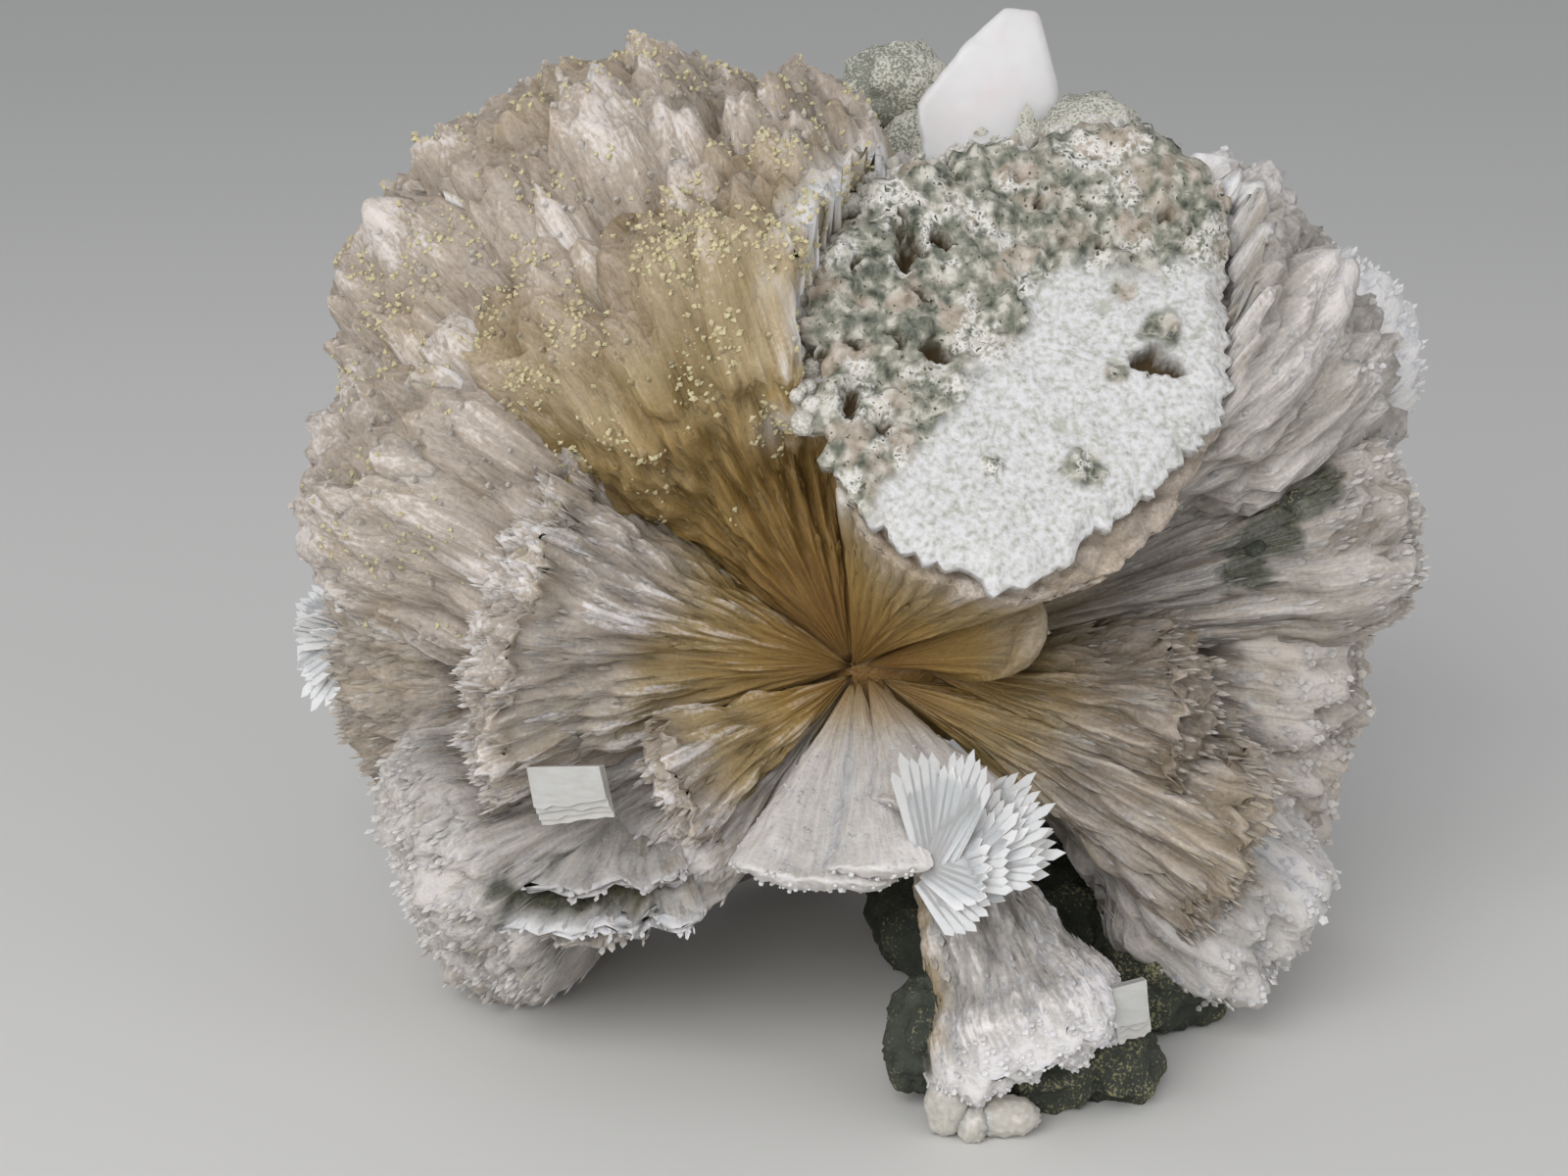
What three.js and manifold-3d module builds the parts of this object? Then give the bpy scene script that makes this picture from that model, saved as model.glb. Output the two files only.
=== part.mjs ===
// A stilbite specimen: sheaves of pearly laths that fan out from one nucleus like the petals of a flower,
// with the rock that they grew on, a pointed crystal, and a few snow-white blades.
// Millimetres, +Z up. X runs to the right and Y away from the viewer. The origin is on the resting surface,
// below the middle of the specimen.
import * as THREE from "three";
import { mergeVertices } from "three/addons/utils/BufferGeometryUtils.js";
import { ConvexGeometry } from "three/addons/geometries/ConvexGeometry.js";
import Module from "manifold-3d";

const wasm = await Module();
wasm.setup();

// Driving dimensions, in millimetres and degrees.
const NUCLEUS = new THREE.Vector3(-0.4, -3.8, 19.9); // where the laths start, above the resting surface
const SEAT_GAP = 0.3; // between a piece and what it grew on
const ROCK_GAP = 0.9; // the same for the rough rock
const GROWTH_SHARE = 0.6; // the share of a sheaf's length from where its grown copy is a full gap larger
const SIDES = 12; // flat facets round a sheaf
const SQUARENESS = 0.75; // 1 gives a sheaf a round end, and less a squarer one
const RING_SPREADS = [0, 0.42, 0.8, 0.99, 1, 0.98, 0]; // a sheaf's rings, from its cap's middle to its apex
const RING_SHARES = [1, 1, 1, 0.97, 0.8, 0.4, 0]; // where those rings lie, as a share of its length
const CAP_RINGS = 3; // how many of them are on the cap
const PLEAT = 0.07; // how far every second facet edge lies in, as a share of the sheaf's spread
const RAGGED = 0.06; // how unevenly the laths of a sheaf end, as a share of their length
const FLARE = 0.12; // how much the laths bend outwards on the way to their tips
const BLADE_LENGTH = 0.42; // of the sheaf's length, for the big blades along its side
const BLADE_ENDS = [0.82, 1.02]; // where they end, as a share of the sheaf's length
const BLADE_WIDTHS = [2.2, 3.8];
const BLADE_DEPTH = 0.8; // where they start, as a share of the sheaf's spread
const BLADE_ROOT = 0.6; // how wide a blade is at its root, as a share of its width
const CHISEL_LENGTH = 0.45; // of its width, for its chisel end
const CHISEL_EDGE = [-0.45, 0.35]; // where the chisel's edge starts and ends, as a share of its width
const BLADE_LIFT = 0.7; // how far a blade's tip stands off the sheaf's side
const BLADE_THICKNESS = 1.1;
const KNOB_THICKNESS = 2.6; // of the stout bundles of laths on the crown
const SAME_PLACE = 1e-4; // corners nearer than this are one
const ROUGHNESS = 0.45; // how unevenly rock is rounded, as a share of its size
const BEAD_ROUGHNESS = 0.1;
const CORE_RADIUS = 7.5; // the massive middle behind the nucleus, where all the sheaves are one
const CORE_OFFSET = [2, 7.5, 0]; // its centre, from the nucleus
const CUT_SIZE = 200; // larger than the specimen, for cutting by a plane

// Each sheaf: its apex and the middle of its tips, from the nucleus; the way it is broad; half its spread
// that way and across it, in degrees; how its length grows along both ways; how domed its end is; and the
// number of big blades that show.
const SHEAVES = {
  crown_front: {
    apex: [0, 0, 0], tip: [-12.5, 4.6, 26], across: [1, 0, 0.4],
    spread: [34, 25], slope: [0, 0.08], dome: 0.08, blades: 7,
  },
  crown_left: {
    apex: [0, 1, 0], tip: [-20, 11, 27.5], across: [0.6, 0, 0.8],
    spread: [27, 22], slope: [0, 0], dome: 0.09, blades: 5,
  },
  crown_top: {
    apex: [0, 2, 0], tip: [-5.5, 13.5, 31.5], across: [1, 0, 0.2],
    spread: [23, 20], slope: [0, 0], dome: 0.1, blades: 5,
  },
  shoulder_left: {
    apex: [0, 1, 0], tip: [-28.5, 6.5, 13.5], across: [0, 0, 1],
    spread: [24, 25], slope: [0, 0.05], dome: 0.08, blades: 4,
  },
  petal_left: {
    apex: [0, 0, 0], tip: [-21, -5, 4.5], across: [0.1, 0, 1],
    spread: [29, 22], slope: [0, 0.1], dome: 0.06, blades: 6,
  },
  petal_left_back: {
    apex: [-1, 3, 0], tip: [-29, 8, -1.5], across: [0, 0, 1],
    spread: [27, 23], slope: [0, 0], dome: 0.08, blades: 2,
  },
  petal_low_left: {
    apex: [0, 0, -0.5], tip: [-12.5, -10, -6], across: [-0.5, 0.1, 0.9],
    spread: [22, 16], slope: [0, 0], dome: 0.1, blades: 4,
  },
  lobe_low_left: {
    apex: [0, 1, -0.5], tip: [-24.3, -2.5, -11.8], across: [-0.3, 0, 0.9],
    spread: [19, 25], slope: [0, 0.03], dome: 0.05, blades: 2,
  },
  ledge_low_left: {
    apex: [0, 0, -0.5], tip: [-14, -6.5, -9.6], across: [1, -0.35, 0.3],
    spread: [30, 11], slope: [-0.15, 0], dome: 0, blades: 0,
  },
  heel_left: {
    apex: [0, 4, -1], tip: [-23.2, 4.5, -18], across: [-0.5, 0, 0.9],
    spread: [14, 24], slope: [0, 0], dome: 0.05, blades: 0,
  },
  apron_left: {
    apex: [0, -0.5, -0.6], tip: [-3.6, -12, -8.2], across: [1, 0, 0],
    spread: [25, 15], slope: [0, 0], dome: 0.1, blades: 0,
  },
  apron_right: {
    apex: [1.5, -0.5, -0.6], tip: [2.2, -13.2, -6.8], across: [1, 0, 0],
    spread: [23, 15], slope: [0, 0], dome: 0.1, blades: 0,
  },
  leg: {
    apex: [4.5, 0, -0.5], tip: [9.6, -14, -16.8], across: [1, -0.25, 0],
    spread: [13.5, 16], slope: [0, 0], dome: 0.1, blades: 4,
  },
  petal_right: {
    apex: [3.5, 0, 0], tip: [19.5, -4, -1], across: [0, 0, 1],
    spread: [20, 24], slope: [0, 0], dome: 0.08, blades: 5,
  },
  petal_right_low: {
    apex: [4, 0, -0.5], tip: [22.5, -4.5, -8], across: [-0.3, 0, 1],
    spread: [17, 22], slope: [0, 0], dome: 0.08, blades: 5,
  },
  lobe_low_right: {
    apex: [4, 0.5, -0.5], tip: [24.3, 0, -15.6], across: [0.6, 0, 1],
    spread: [16, 24], slope: [0, 0], dome: 0.08, blades: 5,
  },
  lobe_right_back: {
    apex: [3, 3, 0], tip: [27.5, 10.5, -6.5], across: [0, 0, 1],
    spread: [29, 26], slope: [0, 0], dome: 0.08, blades: 2,
  },
  wedge_right: {
    apex: [3, 0.5, 0], tip: [30.5, 6.5, 7.5], across: [0, 0, 1],
    spread: [15, 18], slope: [0, 0], dome: 0.06, blades: 3,
  },
  bouquet: {
    apex: [0, 0, 0], tip: [14.8, -10.4, 31.5], across: [1, 0, -0.2],
    spread: [29, 35], slope: [0, 0], dome: 0, blades: 0,
  },
  shoulder_right: {
    apex: [1, 1, 0], tip: [25, 11.5, 20.5], across: [0.3, 0, 1],
    spread: [25, 24], slope: [0, 0], dome: 0.08, blades: 3,
  },
  spray_right: {
    apex: [16, 10, 4], tip: [31, 18.5, 17], across: [-0.5, 0.1, 0.9],
    spread: [22, 20], slope: [0, 0], dome: 0.08, blades: 2,
  },
  back_top: {
    apex: [0, 3, 0], tip: [9, 19.5, 24], across: [1, 0, 0],
    spread: [30, 24], slope: [0, 0], dome: 0.08, blades: 0,
  },
  back_left: {
    apex: [0, 3, 0], tip: [-18, 21, 8], across: [0.5, 0.3, 1],
    spread: [30, 28], slope: [0, 0], dome: 0.08, blades: 0,
  },
  back_low: {
    apex: [1, 4, -1], tip: [-7, 19.5, -15.5], across: [1, 0, 0],
    spread: [30, 24], slope: [0, 0], dome: 0.08, blades: 0,
  },
  back_right: {
    apex: [2, 4, 0], tip: [19, 21, 0], across: [0, 0.2, 1],
    spread: [28, 26], slope: [0, 0], dome: 0.08, blades: 0,
  },
};

// The face where the bouquet broke off the rock: a point on it, from the nucleus, its outward normal, and
// the reach of the crust left on it at every 22.5 degrees, from the right and turning up.
const BREAK_POINT = new THREE.Vector3(8.2, -2.2, 18.6);
const BREAK_NORMAL = new THREE.Vector3(0.12, -0.69, 0.72).normalize();
const CRUST_REACH = [11, 12, 15.5, 16.5, 12.5, 11.5, 12, 10.5, 11, 11, 13, 14.5, 15, 12, 11, 11];
const CRUST_THICKNESS = 1.4;
const CRUST_THICKENING = 0.9; // more of it towards the upper left, where rock is left on it
const CRUST_HALF = 14; // the distance over which it thickens
const CRUST_LUMPS = 0.8;
const CRUST_RAG = 0.7; // how unevenly its rim ends
const CRUST_RIM = 0.6; // its height at the rim, as a share of its height in the middle
const CRUST_SPREADS = [0, 0.3, 0.58, 0.84, 1, 1, 0]; // its rings, from its middle over the rim to below
const CRUST_RIM_ROW = 4; // the first of them that is on the rim
const BREAK_CLEARANCE = 0.6; // how far the break reaches beyond the crust
const BREAK_DEPTH = 20; // more than anything stands out in front of the broken face

// Lumps of rock and of small pale balls: the centre from the nucleus, and half its size each way.
const CREST_LUMPS = [
  [[2.6, 22.3, 28.6], [3.2, 3, 3]],
  [[14, 17.8, 26.4], [3.2, 3.4, 2.8]],
  [[8.5, 19.8, 24.4], [7.5, 4, 4]],
];
const FOOT_LUMPS = [
  [[3.8, -12.6, -16], [2.6, 3, 3.6]],
  [[13.6, -11.4, -17.8], [2.6, 2.6, 2.6]],
  [[17.4, -2, -16.4], [4.4, 5, 4.2]],
  [[9.5, -9, -18], [6.5, 5.5, 3]],
  [[10, 6, -17.5], [9, 10, 4.5]],
];
const BEADS = [
  [[4.7, -16, -18], [1.5, 1.3, 1.8]],
  [[6.2, -16.8, -18.8], [1.5, 1.2, 1.5]],
  [[8, -16, -18.8], [1.5, 1.3, 1.4]],
];

// The pointed crystal's corners, from the nucleus: its front face from the lower left round to the bottom,
// and how far back its back face lies.
const CRYSTAL_FRONT = [
  [4.2, 15.6, 24.4], [3.7, 16.9, 28.4], [6.6, 18.2, 31.9], [9.0, 19.0, 33.9],
  [11.0, 19.2, 33.6], [12.3, 18.8, 29.4], [12.8, 17.6, 25.6], [8.4, 15.2, 23.6],
];
const CRYSTAL_BACK = [1.2, 5, 0.2];
const CRYSTAL_BACK_SIZE = 0.72;

// Fans of snow-white blades: where they meet and, for each blade, its tip, its width and the way it faces.
const WHITE_FAN = {
  root: [6.6, -12.4, -5], thickness: 0.55,
  blades: [
    [[3.4, -13, -0.4], 1.9], [[5.4, -14.4, -0.6], 2], [[7.6, -13.8, 0.2], 1.9], [[9.4, -12.8, -1.6], 1.8],
    [[10.8, -13.6, -4.4], 2], [[9.6, -15, -7.2], 2], [[7, -15.4, -8.8], 2.1], [[4.6, -15.4, -7.2], 2],
    [[3.4, -14.8, -4.2], 1.9],
  ],
};
const FAN_FACING = new THREE.Vector3(0.2, 1, -0.2);
const LEFT_FAN = {
  root: [-28.4, 12.6, -2.4], thickness: 0.6,
  blades: [
    [[-30.2, 12.6, 2.8], 1.7], [[-31.8, 12.7, 0.6], 1.8], [[-32.4, 11.8, -2], 1.7], [[-32.2, 11.4, -4.4], 1.8],
    [[-31.2, 11.2, -7], 1.8], [[-31.0, 13.8, -1], 1.8], [[-31.4, 10.2, -0.8], 1.5],
  ],
};

// A number from 0 to 1 that looks random but is the same each time, for a whole number and a seed.
function scatter(index, seed) {
  const wave = Math.sin(index * 127.1 + seed * 311.7) * 43758.5453;
  return wave - Math.floor(wave);
}

// A three.js geometry as a solid, with its faces turned outwards.
function solidOf(geometry) {
  const plain = geometry.clone();
  for (const name of Object.keys(plain.attributes)) {
    if (name !== "position") plain.deleteAttribute(name);
  }
  const merged = mergeVertices(plain, SAME_PLACE);
  const vertProperties = new Float32Array(merged.attributes.position.array);
  const triVerts = new Uint32Array(merged.index.array);
  const build = () => new wasm.Manifold(new wasm.Mesh({ numProp: 3, vertProperties, triVerts }));
  const first = build();
  if (first.volume() > 0) return first;
  for (let i = 0; i < triVerts.length; i += 3) {
    [triVerts[i + 1], triVerts[i + 2]] = [triVerts[i + 2], triVerts[i + 1]];
  }
  return build();
}

function geometryOf(solid) {
  const mesh = solid.getMesh();
  const places = new Float32Array(mesh.numVert * 3);
  for (let i = 0; i < mesh.numVert; i++) {
    places.set(mesh.vertProperties.subarray(i * mesh.numProp, i * mesh.numProp + 3), i * 3);
  }
  const geometry = new THREE.BufferGeometry();
  geometry.setAttribute("position", new THREE.BufferAttribute(places, 3));
  geometry.setIndex(new THREE.BufferAttribute(new Uint32Array(mesh.triVerts), 1));
  return geometry;
}

const union = (solids) => solids.reduce((whole, solid) => whole.add(solid));

// The three directions of a sheaf: along its axis, the way it is broad, and across that.
function sheafAxes(sheaf) {
  const apex = new THREE.Vector3(...sheaf.apex);
  const reach = new THREE.Vector3(...sheaf.tip).sub(apex);
  const along = reach.clone().normalize();
  const broad = new THREE.Vector3(...sheaf.across);
  broad.addScaledVector(along, -broad.dot(along)).normalize();
  const thick = new THREE.Vector3().crossVectors(along, broad);
  if (thick.y < 0) thick.negate();
  return { apex: apex.add(NUCLEUS), along, broad, thick, length: reach.length() };
}

// The place in a sheaf at a share of its spread each way, and at a share of its length.
function sheafPoint(sheaf, axes, x, y, share, grow = 0) {
  const spreadX = Math.tan(THREE.MathUtils.degToRad(sheaf.spread[0]));
  const spreadY = Math.tan(THREE.MathUtils.degToRad(sheaf.spread[1]));
  const bend = 1 - FLARE * (1 - share);
  const direction = axes.along
    .clone()
    .addScaledVector(axes.broad, x * spreadX * bend)
    .addScaledVector(axes.thick, y * spreadY * bend)
    .normalize();
  const end = 1 + sheaf.slope[0] * x + sheaf.slope[1] * y - sheaf.dome * (x * x + y * y);
  return direction.multiplyScalar(axes.length * end * share + grow).add(axes.apex);
}

// A sheaf's own body: a ball's rings drawn out into a fan, from the cap's middle to the apex.
function sheafSolid(name, grow = 0) {
  const sheaf = SHEAVES[name];
  const axes = sheafAxes(sheaf);
  const seed = name.length + Math.abs(sheaf.tip[0]) + Math.abs(sheaf.tip[2]);
  const last = RING_SPREADS.length - 1;
  const ball = new THREE.SphereGeometry(1, SIDES, last);
  const position = ball.getAttribute("position");
  for (let row = 0; row <= last; row++) {
    for (let column = 0; column <= SIDES; column++) {
      const side = column % SIDES;
      const turn = (2 * Math.PI * side) / SIDES;
      const roundX = Math.sign(Math.cos(turn)) * Math.abs(Math.cos(turn)) ** SQUARENESS;
      const roundY = Math.sign(Math.sin(turn)) * Math.abs(Math.sin(turn)) ** SQUARENESS;
      const pleat = side % 2 ? 1 - PLEAT : 1;
      const narrow = Math.tan(THREE.MathUtils.degToRad(Math.min(...sheaf.spread)));
      const widening = 1 + grow / (GROWTH_SHARE * axes.length * narrow);
      const spread = RING_SPREADS[row] * (row >= CAP_RINGS ? pleat : 1) * widening;
      const ragged = row > 0 && row <= CAP_RINGS ? RAGGED * scatter(side + SIDES * row, seed) : 0;
      const share = RING_SHARES[row] * (1 - ragged);
      const longer = row < last ? grow : -grow;
      const point = sheafPoint(sheaf, axes, roundX * spread, roundY * spread, share, longer);
      position.setXYZ(row * (SIDES + 1) + column, point.x, point.y, point.z);
    }
  }
  return solidOf(ball);
}

// A lath with a chisel end, from a root to a tip, as the hull of its corners.
function bladeSolid(root, tip, flat, width, thickness) {
  const along = tip.clone().sub(root).normalize();
  const wide = flat.clone().addScaledVector(along, -flat.dot(along)).normalize();
  const thin = new THREE.Vector3().crossVectors(along, wide);
  const shoulder = tip.clone().addScaledVector(along, -width * CHISEL_LENGTH);
  const corners = [];
  for (const [x, y] of [[-1, -1], [1, -1], [1, 1], [-1, 1]]) {
    for (const [centre, size] of [[root, BLADE_ROOT], [shoulder, 1]]) {
      const corner = centre.clone().addScaledVector(wide, (x * size * width) / 2);
      corners.push(corner.addScaledVector(thin, (y * size * thickness) / 2));
    }
  }
  for (const x of CHISEL_EDGE) corners.push(tip.clone().addScaledVector(wide, x * width));
  return solidOf(new ConvexGeometry(corners));
}

// The big blades along the side of a sheaf, each one rooted inside it and with its tip standing off.
function sheafBlades(name, grow = 0) {
  const sheaf = SHEAVES[name];
  const axes = sheafAxes(sheaf);
  const blades = [];
  for (let i = 0; i < sheaf.blades; i++) {
    const turn = (2 * Math.PI * (i + 0.6 * scatter(i, 3))) / sheaf.blades;
    const x = Math.cos(turn);
    const y = Math.sin(turn);
    const end = THREE.MathUtils.lerp(...BLADE_ENDS, scatter(i, name.length));
    const root = sheafPoint(sheaf, axes, x * BLADE_DEPTH, y * BLADE_DEPTH, end - BLADE_LENGTH);
    const rim = sheafPoint(sheaf, axes, x, y, end);
    const centre = sheafPoint(sheaf, axes, 0, 0, end);
    const outwards = rim.clone().sub(centre).normalize();
    const tip = rim.addScaledVector(outwards, BLADE_LIFT - BLADE_THICKNESS / 2);
    tip.addScaledVector(axes.along, grow * 1.5);
    const flat = new THREE.Vector3().crossVectors(outwards, axes.along);
    const width = THREE.MathUtils.lerp(...BLADE_WIDTHS, scatter(i, name.length + 5));
    const thickness = name.startsWith("crown") ? KNOB_THICKNESS : BLADE_THICKNESS;
    blades.push(bladeSolid(root, tip, flat, width + 2 * grow, thickness + 2 * grow));
  }
  return blades;
}

// Everything on the outward side of a plane, for cutting away.
function beyondPlane(point, normal) {
  const block = new THREE.BoxGeometry(CUT_SIZE, CUT_SIZE, CUT_SIZE);
  block.translate(0, 0, CUT_SIZE / 2);
  block.applyQuaternion(new THREE.Quaternion().setFromUnitVectors(new THREE.Vector3(0, 0, 1), normal));
  block.translate(point.x, point.y, point.z);
  return solidOf(block);
}

const breakPlace = BREAK_POINT.clone().add(NUCLEUS);
const floorCut = beyondPlane(new THREE.Vector3(0, 0, 0), new THREE.Vector3(0, 0, -1));

// All the sheaves grown together, broken off at the plane of the bouquet.
function stilbite(grow = 0) {
  const core = new THREE.IcosahedronGeometry(CORE_RADIUS + grow, 1);
  core.translate(NUCLEUS.x + CORE_OFFSET[0], NUCLEUS.y + CORE_OFFSET[1], NUCLEUS.z + CORE_OFFSET[2]);
  const bodies = [solidOf(core)];
  const offset = breakPlace.clone().addScaledVector(BREAK_NORMAL, grow);
  for (const name of Object.keys(SHEAVES)) {
    const whole = union([sheafSolid(name, grow), ...sheafBlades(name, grow)]);
    bodies.push(name === "bouquet" ? whole.subtract(beyondPlane(offset, BREAK_NORMAL)) : whole);
  }
  return union(bodies).subtract(brokenAway(grow));
}

// The number that stands for each corner's body, where corners that share a face are in one body.
function bodyOfCorners(index, count) {
  const body = Array.from({ length: count }, (_, corner) => corner);
  const find = (corner) => {
    while (body[corner] !== corner) corner = body[corner] = body[body[corner]];
    return corner;
  };
  for (let i = 0; i < index.length; i += 3) {
    body[find(index[i + 1])] = find(index[i]);
    body[find(index[i + 2])] = find(index[i]);
  }
  return body.map((_, corner) => find(corner));
}

// The largest body of a solid that a cut may have left in several.
function largest(solid) {
  const geometry = geometryOf(solid);
  const index = geometry.index.array;
  const body = bodyOfCorners(index, geometry.attributes.position.count);
  const faces = new Map();
  for (let i = 0; i < index.length; i += 3) {
    const home = body[index[i]];
    if (!faces.has(home)) faces.set(home, []);
    faces.get(home).push(...index.slice(i, i + 3));
  }
  const bodies = [...faces.values()].map((corners) => solidOf(geometry.clone().setIndex(corners)));
  return bodies.sort((a, b) => b.volume() - a.volume())[0];
}

// A plate on the broken face: how far it reaches beyond the crust's outline, where its underside lies, and
// how high its top is at a place.
function platePrism(beyond, base, heightAt, ragged) {
  const right = new THREE.Vector3(0, 1, 0).cross(BREAK_NORMAL).normalize();
  const up = new THREE.Vector3().crossVectors(BREAK_NORMAL, right);
  const sides = CRUST_REACH.length * 2;
  const ball = new THREE.SphereGeometry(1, sides, CRUST_SPREADS.length - 1);
  const position = ball.getAttribute("position");
  for (let row = 0; row < CRUST_SPREADS.length; row++) {
    for (let column = 0; column <= sides; column++) {
      const side = column % sides;
      const turn = (2 * Math.PI * side) / sides;
      const slot = Math.floor(side / 2);
      const next = (slot + (side % 2)) % CRUST_REACH.length;
      const short = row >= CRUST_RIM_ROW ? ragged * scatter(side, 9) : 0;
      const reach = (CRUST_REACH[slot] + CRUST_REACH[next]) / 2 + beyond - short;
      const spread = CRUST_SPREADS[row] * reach;
      const x = spread * Math.cos(turn);
      const y = spread * Math.sin(turn);
      const height = row <= CRUST_RIM_ROW ? heightAt(x, y, row, row ? side : 0) : 0;
      const point = breakPlace.clone().addScaledVector(right, x).addScaledVector(up, y);
      point.addScaledVector(BREAK_NORMAL, base + height);
      position.setXYZ(row * (sides + 1) + column, point.x, point.y, point.z);
    }
  }
  return solidOf(ball);
}

// What broke away in front of the broken face, leaving room for the crust.
const brokenAway = (grow) => platePrism(BREAK_CLEARANCE - grow, grow, () => BREAK_DEPTH, 0);

// The thin crust, with a lumpy top and a ragged edge.
function crustHeight(x, y, row, side) {
  const lumpy = CRUST_LUMPS * scatter(side, 20 + row);
  const thicker = CRUST_THICKENING * Math.max(0, (y - x) / CRUST_HALF);
  return (CRUST_THICKNESS + lumpy + thicker) * (row >= CRUST_RIM_ROW ? CRUST_RIM : 1);
}
const crustSolid = () => platePrism(0, SEAT_GAP, crustHeight, CRUST_RAG);

// A rough lump, from its centre and half its size each way.
function lumpSolid([centre, size], roughness, grow = 0) {
  const round = new THREE.IcosahedronGeometry(1, 1).deleteAttribute("normal").deleteAttribute("uv");
  const ball = mergeVertices(round, SAME_PLACE);
  const position = ball.getAttribute("position");
  for (let i = 0; i < position.count; i++) {
    const radius = 1 + roughness * (scatter(i, centre[0] + centre[2]) - 0.5);
    position.setXYZ(
      i,
      NUCLEUS.x + centre[0] + position.getX(i) * (size[0] * radius + grow),
      NUCLEUS.y + centre[1] + position.getY(i) * (size[1] * radius + grow),
      NUCLEUS.z + centre[2] + position.getZ(i) * (size[2] * radius + grow),
    );
  }
  return solidOf(ball);
}

// A place moved away from a middle by a distance.
const pushed = (place, middle, distance) =>
  place.clone().addScaledVector(place.clone().sub(middle).normalize(), distance);

// The blocky crystal with a point, as the hull of its corners.
function crystalSolid(grow = 0) {
  const corners = CRYSTAL_FRONT.map((corner) => new THREE.Vector3(...corner).add(NUCLEUS));
  const middle = corners.reduce((sum, corner) => sum.add(corner), new THREE.Vector3());
  middle.divideScalar(corners.length);
  const back = new THREE.Vector3(...CRYSTAL_BACK);
  const smaller = corners.map((corner) => corner.clone().sub(middle).multiplyScalar(CRYSTAL_BACK_SIZE));
  const far = smaller.map((corner) => corner.add(middle).add(back));
  middle.addScaledVector(back, 0.5);
  const all = [...corners, ...far];
  return solidOf(new ConvexGeometry(all.map((corner) => pushed(corner, middle, grow))));
}

// A fan of blades that meet at their root.
function fanSolid(fan) {
  const root = new THREE.Vector3(...fan.root).add(NUCLEUS);
  const parts = [];
  for (const [place, width] of fan.blades) {
    const tip = new THREE.Vector3(...place).add(NUCLEUS);
    const flat = tip.clone().sub(root).cross(FAN_FACING);
    parts.push(bladeSolid(root, tip, flat, width, fan.thickness));
  }
  return union(parts);
}

const specimen = new THREE.Group();
function add(name, solid, color, roughness) {
  const mesh = new THREE.Mesh(
    geometryOf(solid),
    new THREE.MeshStandardMaterial({ color, roughness, metalness: 0, flatShading: true }),
  );
  mesh.name = name;
  specimen.add(mesh);
}

// A finished piece: flat where it rests, and in one body.
const finish = (solid) => largest(solid.subtract(floorCut));
const lumps = (list, roughness, grow = 0) => union(list.map((lump) => lumpSolid(lump, roughness, grow)));

const rosette = finish(stilbite());
const seat = stilbite(SEAT_GAP);
const rockSeat = stilbite(ROCK_GAP);
const crystal = finish(crystalSolid().subtract(seat));
const crust = finish(crustSolid().subtract(seat).subtract(crystal));
const beads = finish(lumps(BEADS, BEAD_ROUGHNESS).subtract(seat));
const beadSeat = lumps(BEADS, BEAD_ROUGHNESS, SEAT_GAP);
const foot = finish(lumps(FOOT_LUMPS, ROUGHNESS).subtract(rockSeat).subtract(beadSeat));
const crest = finish(lumps(CREST_LUMPS, ROUGHNESS).subtract(rockSeat).subtract(crystalSolid(SEAT_GAP)));
const whiteFan = finish(fanSolid(WHITE_FAN).subtract(seat));
const leftFan = finish(fanSolid(LEFT_FAN).subtract(seat));

add("stilbite_sheaves", rosette, "#d9cbb8", 0.5);
add("matrix_crust", crust, "#c4c8b8", 0.9);
add("matrix_crest", crest, "#8d9382", 0.9);
add("matrix_foot", foot, "#4c5343", 0.9);
add("pointed_crystal", crystal, "#e9dcdc", 0.3);
add("white_sheaf", whiteFan, "#f4f2ee", 0.35);
add("foot_beads", beads, "#d9d2c4", 0.5);
add("left_blades", leftFan, "#efece4", 0.4);

export default specimen;
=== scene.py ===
# %% [markdown]
# # A stilbite specimen
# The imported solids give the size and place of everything: sheaves of laths that grew out from one middle,
# the rock that they grew on, a pointed crystal and some snow-white blades. This file makes the fine surface.
# Every sheaf follows one rule, so it is worked out in code. Geometry Nodes then set thousands of laths on it.

# %% Load the frame
import itertools
import math
from types import SimpleNamespace

import bmesh
import bpy
import numpy as np
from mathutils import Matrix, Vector


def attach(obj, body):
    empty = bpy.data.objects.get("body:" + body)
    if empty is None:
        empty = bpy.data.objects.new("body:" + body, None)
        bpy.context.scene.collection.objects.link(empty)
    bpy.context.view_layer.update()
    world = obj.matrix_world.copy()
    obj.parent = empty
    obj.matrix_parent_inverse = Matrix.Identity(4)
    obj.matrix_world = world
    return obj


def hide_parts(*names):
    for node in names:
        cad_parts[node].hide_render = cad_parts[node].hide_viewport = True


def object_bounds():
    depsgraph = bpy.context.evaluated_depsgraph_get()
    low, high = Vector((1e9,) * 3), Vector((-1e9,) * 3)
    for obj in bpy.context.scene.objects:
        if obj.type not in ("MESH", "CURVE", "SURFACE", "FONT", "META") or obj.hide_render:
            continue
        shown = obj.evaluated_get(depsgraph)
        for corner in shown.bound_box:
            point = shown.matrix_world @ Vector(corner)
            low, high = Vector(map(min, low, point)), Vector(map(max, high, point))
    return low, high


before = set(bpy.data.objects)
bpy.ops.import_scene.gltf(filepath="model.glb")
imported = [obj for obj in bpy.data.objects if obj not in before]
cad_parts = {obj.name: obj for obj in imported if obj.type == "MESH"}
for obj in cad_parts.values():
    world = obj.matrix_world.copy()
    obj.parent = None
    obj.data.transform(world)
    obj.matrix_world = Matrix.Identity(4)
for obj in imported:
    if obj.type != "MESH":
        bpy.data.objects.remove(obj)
cad_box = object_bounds()
MM = 0.001
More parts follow.
